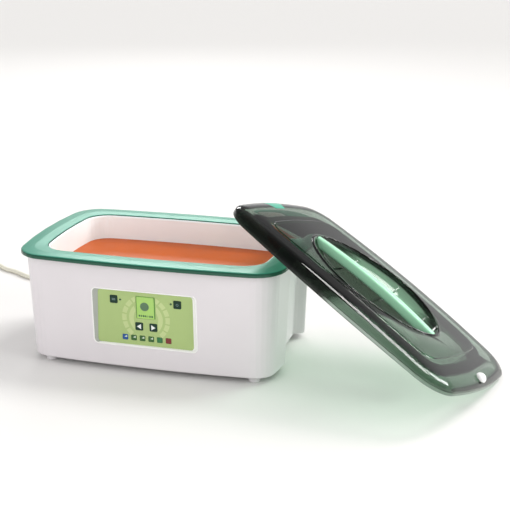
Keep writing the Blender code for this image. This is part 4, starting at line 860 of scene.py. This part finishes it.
def rib_shape(x):
    reach = BOWL_HALF[1] * (1 - abs(x / BOWL_HALF[0]) ** DISH_POWER) ** (1 / DISH_POWER) * RIB_REACH
    sections = []
    for step in range(RIB_SAMPLES + 1):
        y = reach * math.sin(math.radians(90) * (2 * step / RIB_SAMPLES - 1))
        low = dish_floor(x, y)
        rise = RIB_HEIGHT * min(1, (1 - abs(y) / reach) * RIB_END_SLOPE + RIB_END_SHARE)
        root, top = low - RIB_ROOT, low + rise
        wide, narrow = RIB_HALF_THICKNESS, RIB_HALF_THICKNESS * RIB_TAPER
        sections.append([(x - wide, y, root), (x + wide, y, root), (x + narrow, y, top), (x - narrow, y, top)])
    return loft(sections)


for number, share in enumerate(RIB_SHARES):
    combine(lid, tool(f"rib_{number}", *rib_shape(DISH_HALF[0] * share)), "UNION", ROUND_SMOOTH)


# Frame of the panel: a bead on the housing's face, whiter than the housing for a painted highlight, and slopes
# down to the film, grey at the left end for painted shade
PANEL_HALF_TOP = 0.0754
PANEL_TAPER = 0.0035
PANEL_HALF_HEIGHT = 0.0405
PANEL_CORNER = 0.006
PANEL_CORNER_STEPS = 8
BEAD_WIDTH = 0.0018
BEAD_HEIGHT = 0.0007
BEAD_PROFILE = (
    (0.0, -0.0001),
    (0.0003, 0.8 * BEAD_HEIGHT),
    (0.0009, BEAD_HEIGHT),
    (0.0015, 0.8 * BEAD_HEIGHT),
    (BEAD_WIDTH, 0.0),
)
BEAD_BACK = ((BEAD_WIDTH, -0.0004), (-0.0004, -0.0006))
FRAME_LEFT = (0.0034, 0.0042)
FRAME_RIGHT = 0.0042
FRAME_LEVEL = 0.0008
FRAME_SIDES = 0.012
FRAME_SIDES_POWER = 6
FRAME_EDGE = (0.0001, 0.0004)
PROBE_HEIGHT = 0.05
SHADED_SLOPE_SHARE = 0.88


def panel_outline(grown):
    middle = PANEL_HALF_TOP - PANEL_TAPER / 2
    lean = PANEL_TAPER / (2 * PANEL_HALF_HEIGHT)
    sizes = (middle, PANEL_HALF_HEIGHT, PANEL_CORNER)
    outline = rounded_rectangle(*(size + grown for size in sizes), PANEL_CORNER_STEPS)
    return [(x + math.copysign(lean * y, x), y) for x, y in outline]


def frame_inner():
    """The film's visible outline, set in most at the upper left."""
    points = []
    for x, y in panel_outline(-FRAME_LEVEL):
        share = (y + PANEL_HALF_HEIGHT) / (2 * PANEL_HALF_HEIGHT)
        inset = FRAME_LEFT[1] + FRAME_LEFT[0] * share if x < 0 else FRAME_RIGHT
        reach = min(1, abs(x) / (PANEL_HALF_TOP - FRAME_SIDES))
        points.append((x - math.copysign((inset - FRAME_LEVEL) * reach**FRAME_SIDES_POWER, x), y))
    return points


def face_levels():
    """Heights of the housing's face over the panel's plane, along the bead's outer edge."""
    tree = BVHTree.FromObject(NODES["housing"], bpy.context.evaluated_depsgraph_get())
    down = PANEL_FRAME.to_3x3() @ Vector((0, 0, -1))
    levels = []
    for x, y in panel_outline(BEAD_WIDTH):
        start = PANEL_FRAME @ Vector((x, y, PROBE_HEIGHT))
        levels.append(PROBE_HEIGHT - (tree.ray_cast(start, down)[0] - start).length)
    return levels


def panel_frame():
    levels = face_levels()
    rings = [at_height(frame_inner(), height) for height in FRAME_EDGE]
    for grown, rise in (*BEAD_PROFILE, *BEAD_BACK):
        rings.append([(x, y, level + rise) for (x, y), level in zip(panel_outline(grown), levels)])
    rings.append(at_height(panel_outline(-FRAME_LEVEL), FRAME_EDGE[0]))
    return loft(rings, closed=True)


# The raised bead is real; its whiter colour is a painted highlight along the recess's edge
bezel = shape("panel_frame", *panel_frame(), "bead", "housing_white", "bath", PANEL_FRAME, PANEL_SMOOTH)
# Painted shade: the slopes at the panel's left end take the grey look
bezel.data.materials.append(LOOKS["slope_shade"])
slopes = len(FRAME_EDGE) * len(panel_outline(0))
for face in bezel.data.polygons[:slopes]:
    if (PANEL_FRAME.inverted() @ face.center).x < SHADED_SLOPE_SHARE * -PANEL_HALF_TOP:
        face.material_index = 1

# Marks of the panel, as thin printed layers
INK = 0.00005
ARTWORK_OFFSET = 0.002
RING_MIDDLE = (ARTWORK_OFFSET, 0.0007)
RING_BLOCKS = 6
BLOCKS_BELOW = 2
BLOCK_PITCH = 20.5
BLOCK_HALF = 8.4
BLOCK_RADII = (0.0285, 0.0352)
BLOCK_STEPS = 5
BAND_RADII = (0.0180, 0.0248)
BAND_HALF = 46
BAND_LONGER = 5
BAND_STEPS = 18
CLEARANCE_BELOW = 0.0170
CLEARANCE_ABOVE = 0.0150


def print_shape(outline, level):
    """A flat printed mark: its outline given anticlockwise in the panel's plane."""
    return loft([at_height(outline, level), at_height(outline, level + INK)])


def arc_block(radii, first, last, steps, middle=RING_MIDDLE):
    points = []
    for radius, start, end in ((radii[1], first, last), (radii[0], last, first)):
        for step in range(steps + 1):
            angle = math.radians(start + (end - start) * step / steps)
            points.append((middle[0] + radius * math.cos(angle), middle[1] + radius * math.sin(angle)))
    return points


def rectangle(x, y, half_x, half_y):
    left, right, low, high = x - half_x, x + half_x, y - half_y, y + half_y
    return [(left, low), (right, low), (right, high), (left, high)]


def clear_of_keys(point):
    """The same point, kept beside the keys and the display."""
    from_middle = point[0] - ARTWORK_OFFSET
    least = CLEARANCE_BELOW if point[1] < RING_MIDDLE[1] else CLEARANCE_ABOVE
    return (ARTWORK_OFFSET + math.copysign(max(abs(from_middle), least), from_middle), point[1])


def ring_marks():
    shapes = []
    for side, turn, longer in ((0, 1, BAND_LONGER), (180, -1, 0)):
        for number in range(RING_BLOCKS):
            middle = side + turn * (number - BLOCKS_BELOW) * BLOCK_PITCH
            block = arc_block(BLOCK_RADII, middle - BLOCK_HALF, middle + BLOCK_HALF, BLOCK_STEPS)
            shapes.append(print_shape([clear_of_keys(point) for point in block], 0))
        band = arc_block(BAND_RADII, side - BAND_HALF, side + BAND_HALF + longer, BAND_STEPS)
        shapes.append(print_shape([clear_of_keys(point) for point in band], 0))
    return joined(shapes)


shape("panel_ring", *ring_marks(), "mark_pale", "film_green", "bath", PANEL_FRAME, smooth=0)

# Marks of the keys: arrows, a power mark and three bars
KEY_TOP = 0.0006
ARROW_SPREAD = 0.0104
ARROW_DROP = 0.0114
ARROW_TIP = 0.0032
ARROW_TAIL = 0.0028
ARROW_HALF = 0.0038
CORNER_SPREAD = 0.0465
CORNER_RISE = 0.026
POWER_RADII = (0.0013, 0.0018)
POWER_ARC = (125, 415)
POWER_STEPS = 20
POWER_BAR_RISE = 0.0011
POWER_BAR_HALF = (0.00025, 0.0011)
SET_BAR_RISES = (-0.0011, 0, 0.0011)
SET_BAR_HALF = (0.0024, 0.00028)


def arrow(side):
    x = ARTWORK_OFFSET + side * ARROW_SPREAD
    tip = (x + side * ARROW_TIP, -ARROW_DROP)
    tail = [(x - side * ARROW_TAIL, -ARROW_DROP + rise) for rise in (-ARROW_HALF, ARROW_HALF)]
    outline = [tip, *tail] if side < 0 else [tip, tail[1], tail[0]]
    return print_shape(outline, KEY_TOP)


for key, side in (("key_arrow_left", -1), ("key_arrow_right", 1)):
    shape(key + "_mark", *arrow(side), "mark_white", "key_dark", key, PANEL_FRAME, smooth=0)

power_x = ARTWORK_OFFSET + CORNER_SPREAD
power = [
    print_shape(arc_block(POWER_RADII, *POWER_ARC, POWER_STEPS, (power_x, CORNER_RISE)), KEY_TOP),
    print_shape(rectangle(power_x, CORNER_RISE + POWER_BAR_RISE, *POWER_BAR_HALF), KEY_TOP),
]
shape("key_power_mark", *joined(power), "mark_grey", "key_dark", "key_power", PANEL_FRAME, smooth=0)
set_x = ARTWORK_OFFSET - CORNER_SPREAD
bars = [print_shape(rectangle(set_x, CORNER_RISE + rise, *SET_BAR_HALF), KEY_TOP) for rise in SET_BAR_RISES]
shape("key_set_mark", *joined(bars), "mark_grey", "key_dark", "key_set", PANEL_FRAME, smooth=0)

# Wedges on the first four of the six mode lamps
MODE_LAMPS = 6
WEDGES = 4
LAMP_PITCH = 0.01275
LAMP_DROP = 0.0292
LAMP_TOP = -0.0001
WEDGE = ((-0.0012, 0.0002), (0.0026, -0.0004), (0.0026, 0.0030))
ticks = []
for number in range(WEDGES):
    x = ARTWORK_OFFSET + LAMP_PITCH * (number - (MODE_LAMPS - 1) / 2)
    ticks.append(print_shape([(x + along, -LAMP_DROP + rise) for along, rise in WEDGE], LAMP_TOP))
shape("lamp_marks", *joined(ticks), "mark_tick", "lamp_green", "bath", PANEL_FRAME, smooth=0)

# Display: dark edges, a round mark and a row of small bars
LCD_HALF = (0.0138, 0.0165)
LCD_RISE = 0.017
LCD_TOP = -0.0003
EDGE_TOP = (LCD_RISE + LCD_HALF[1] - 0.0006, LCD_HALF[0] - 0.0002, 0.0004)
EDGE_SIDES = ((LCD_HALF[0] - 0.0009, 0.0007), (0.0005 - LCD_HALF[0], 0.0003))
EDGE_SIDES_HALF = LCD_HALF[1] - 0.0010
DISC_PLACE = (ARTWORK_OFFSET - 0.0016, LCD_RISE + 0.0014)
DISC_RADIUS = 0.0064
DISC_STEPS = 32
ROW_START = ARTWORK_OFFSET - 0.0095
ROW_PITCH = 0.0031
ROW_RISE = LCD_RISE - LCD_HALF[1] + 0.0040
ROW_HALF_HEIGHT = 0.0014
ROW_HALF_WIDTHS = (0.0012, 0.0008, 0.0012, 0.0010, 0.0005, 0.0010, 0.0012)
edges = [print_shape(rectangle(ARTWORK_OFFSET, *EDGE_TOP), LCD_TOP)]
for place, half in EDGE_SIDES:
    edges.append(print_shape(rectangle(ARTWORK_OFFSET + place, LCD_RISE, half, EDGE_SIDES_HALF), LCD_TOP))
shape("display_edges", *joined(edges), "mark_edge", "lcd_green", "bath", PANEL_FRAME, smooth=0)
disc = []
for step in range(DISC_STEPS):
    angle = math.tau * step / DISC_STEPS
    disc.append((DISC_PLACE[0] + DISC_RADIUS * math.cos(angle), DISC_PLACE[1] + DISC_RADIUS * math.sin(angle)))
shape("display_disc", *print_shape(disc, LCD_TOP), "mark_blob", "lcd_green", "bath", PANEL_FRAME, smooth=0)
display = []
for number, half_width in enumerate(ROW_HALF_WIDTHS):
    outline = rectangle(ROW_START + number * ROW_PITCH, ROW_RISE, half_width, ROW_HALF_HEIGHT)
    display.append(print_shape(outline, LCD_TOP))
shape("display_marks", *joined(display), "mark_dark", "lcd_green", "bath", PANEL_FRAME, smooth=0)


# Round white button on the lid
VENT_RADIUS = 0.0078
VENT_HEIGHT = 0.0080
VENT_INSET = 0.0105
VENT_TILT = math.radians(12)
VENT_SEAT = 0.0010
VENT_EDGE = 0.0003
VENT_ROOT = -0.0008
VENT_STEM = 0.7
VENT_BRIM = 0.96
VENT_STEPS = 12
VENT_SIDES = 48


def turned(profile):
    rings = []
    for radius, height in profile:
        turn = [math.tau * step / VENT_SIDES for step in range(VENT_SIDES)]
        rings.append([(radius * math.cos(a), radius * math.sin(a), height) for a in turn])
    return loft(rings)


share = 1 - VENT_INSET / SHOULDER_WIDTH
vent_x = RIM_HALF[0] + OVERHANG - VENT_INSET
vent_z = SKIRT_HEIGHT + SHOULDER_RISE * math.sqrt(1 - share**2) + crown_at(vent_x)
profile = [
    (VENT_RADIUS * VENT_STEM, VENT_ROOT),
    (VENT_RADIUS * VENT_STEM, VENT_SEAT),
    (VENT_RADIUS * VENT_BRIM, VENT_SEAT),
]
for step in range(VENT_STEPS):
    angle = math.radians(90) * step / VENT_STEPS
    rise = VENT_EDGE + (VENT_HEIGHT - VENT_SEAT - VENT_EDGE) * math.sin(angle)
    profile.append((VENT_RADIUS * math.cos(angle), VENT_SEAT + rise))
profile.append((VENT_RADIUS / 12, VENT_HEIGHT))
vent_frame = LID_FRAME @ Matrix.Translation((vent_x, 0, vent_z)) @ Matrix.Rotation(VENT_TILT, 4, "Y")
vent = shape("vent_button", *turned(profile), "vent", "vent_white", "lid", vent_frame)
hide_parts("vent_plug")


# Floor and light: the softboxes with their places, aims, sizes, powers and colours
FLOOR_REACH = 15
FLOOR_GAP = 0.0001
FLOOR_COLOUR = (0.845, 0.83, 0.815)
FLOOR_ROUGHNESS = 0.7
SUN_FROM = (0.80, 0.85, 1.5)
SUN_STRENGTH = 1.47
SUN_ANGLE = 24
SUN_COLOUR = (1.0, 0.995, 0.98)
CEILING_FROM = (0, -0.1, 1)
CEILING_STRENGTH = 1.30
CEILING_ANGLE = 150
WHITE = (1, 1, 1)
SOFTBOXES = {
    "front": ((-0.9, -2.4, 1.5), (-0.1, 0, 0.1), (1.8, 1.4), 17, (1.0, 0.985, 1.0)),
    "side": ((2.4, -0.5, 1.3), (0.0, 0, 0.1), (1.2, 1.2), 26, WHITE),
    "back": ((-1.10, 2.65, 1.34), (-0.15, -0.1, 0.165), (0.95, 0.36), 8.5, WHITE),
    "strip": ((1.68, 1.47, 1.12), (0.28, -0.16, 0.07), (0.70, 0.85), 18, WHITE),
    "far": ((-2.0, 8.5, 5.0), (-2.0, 8.5, 0.0), (12, 9), 90, WHITE),
}
MIRRORED = ("sun", "back", "strip")
STUDIO_LEVELS = ((0.0, 1.0), (0.10, 0.95), (0.22, 0.22), (1.0, 0.14))

floor_mesh = bpy.data.meshes.new("floor")
corners = [(x * FLOOR_REACH, y * FLOOR_REACH, 0) for x, y in ((-1, -1), (1, -1), (1, 1), (-1, 1))]
floor_mesh.from_pydata(corners, [], [(0, 1, 2, 3)])
floor = link(bpy.data.objects.new("floor", floor_mesh))
floor.location.z = CAD_BOX[0].z - FLOOR_GAP
floor_mesh.materials.append(plain("floor_look", FLOOR_COLOUR, FLOOR_ROUGHNESS))


def light(name, kind, energy, colour, direction):
    data = bpy.data.lights.new(name, kind)
    data.energy = energy
    data.color = colour
    made = link(bpy.data.objects.new(name, data))
    made.rotation_euler = direction.to_track_quat("-Z", "Y").to_euler()
    made.visible_glossy = name in MIRRORED
    return made


light("sun", "SUN", SUN_STRENGTH, SUN_COLOUR, -Vector(SUN_FROM)).data.angle = math.radians(SUN_ANGLE)
light("ceiling", "SUN", CEILING_STRENGTH, WHITE, -Vector(CEILING_FROM)).data.angle = math.radians(CEILING_ANGLE)
for name, (place, aim, size, power, colour) in SOFTBOXES.items():
    softbox = light(name, "AREA", power, colour, Vector(aim) - Vector(place))
    softbox.location = place
    softbox.data.shape = "RECTANGLE"
    softbox.data.size, softbox.data.size_y = size


def studio():
    """A pale backdrop up to a low height all round, and the dim room above it."""
    world = bpy.data.worlds.new("studio")
    world.use_nodes = True
    tree = world.node_tree
    where = tree.nodes.new("ShaderNodeTexCoord")
    parts = tree.nodes.new("ShaderNodeSeparateXYZ")
    tree.links.new(where.outputs["Generated"], parts.inputs["Vector"])
    fade = tree.nodes.new("ShaderNodeValToRGB")
    while len(fade.color_ramp.elements) < len(STUDIO_LEVELS):
        fade.color_ramp.elements.new(0.5)
    for element, (height, level) in zip(fade.color_ramp.elements, STUDIO_LEVELS):
        element.position = height
        element.color = (level, level, level, 1)
    tree.links.new(parts.outputs["Z"], fade.inputs["Fac"])
    tree.links.new(fade.outputs["Color"], tree.nodes["Background"].inputs["Color"])
    bpy.context.scene.world = world


studio()
bpy.context.scene.view_settings.view_transform = "Standard"
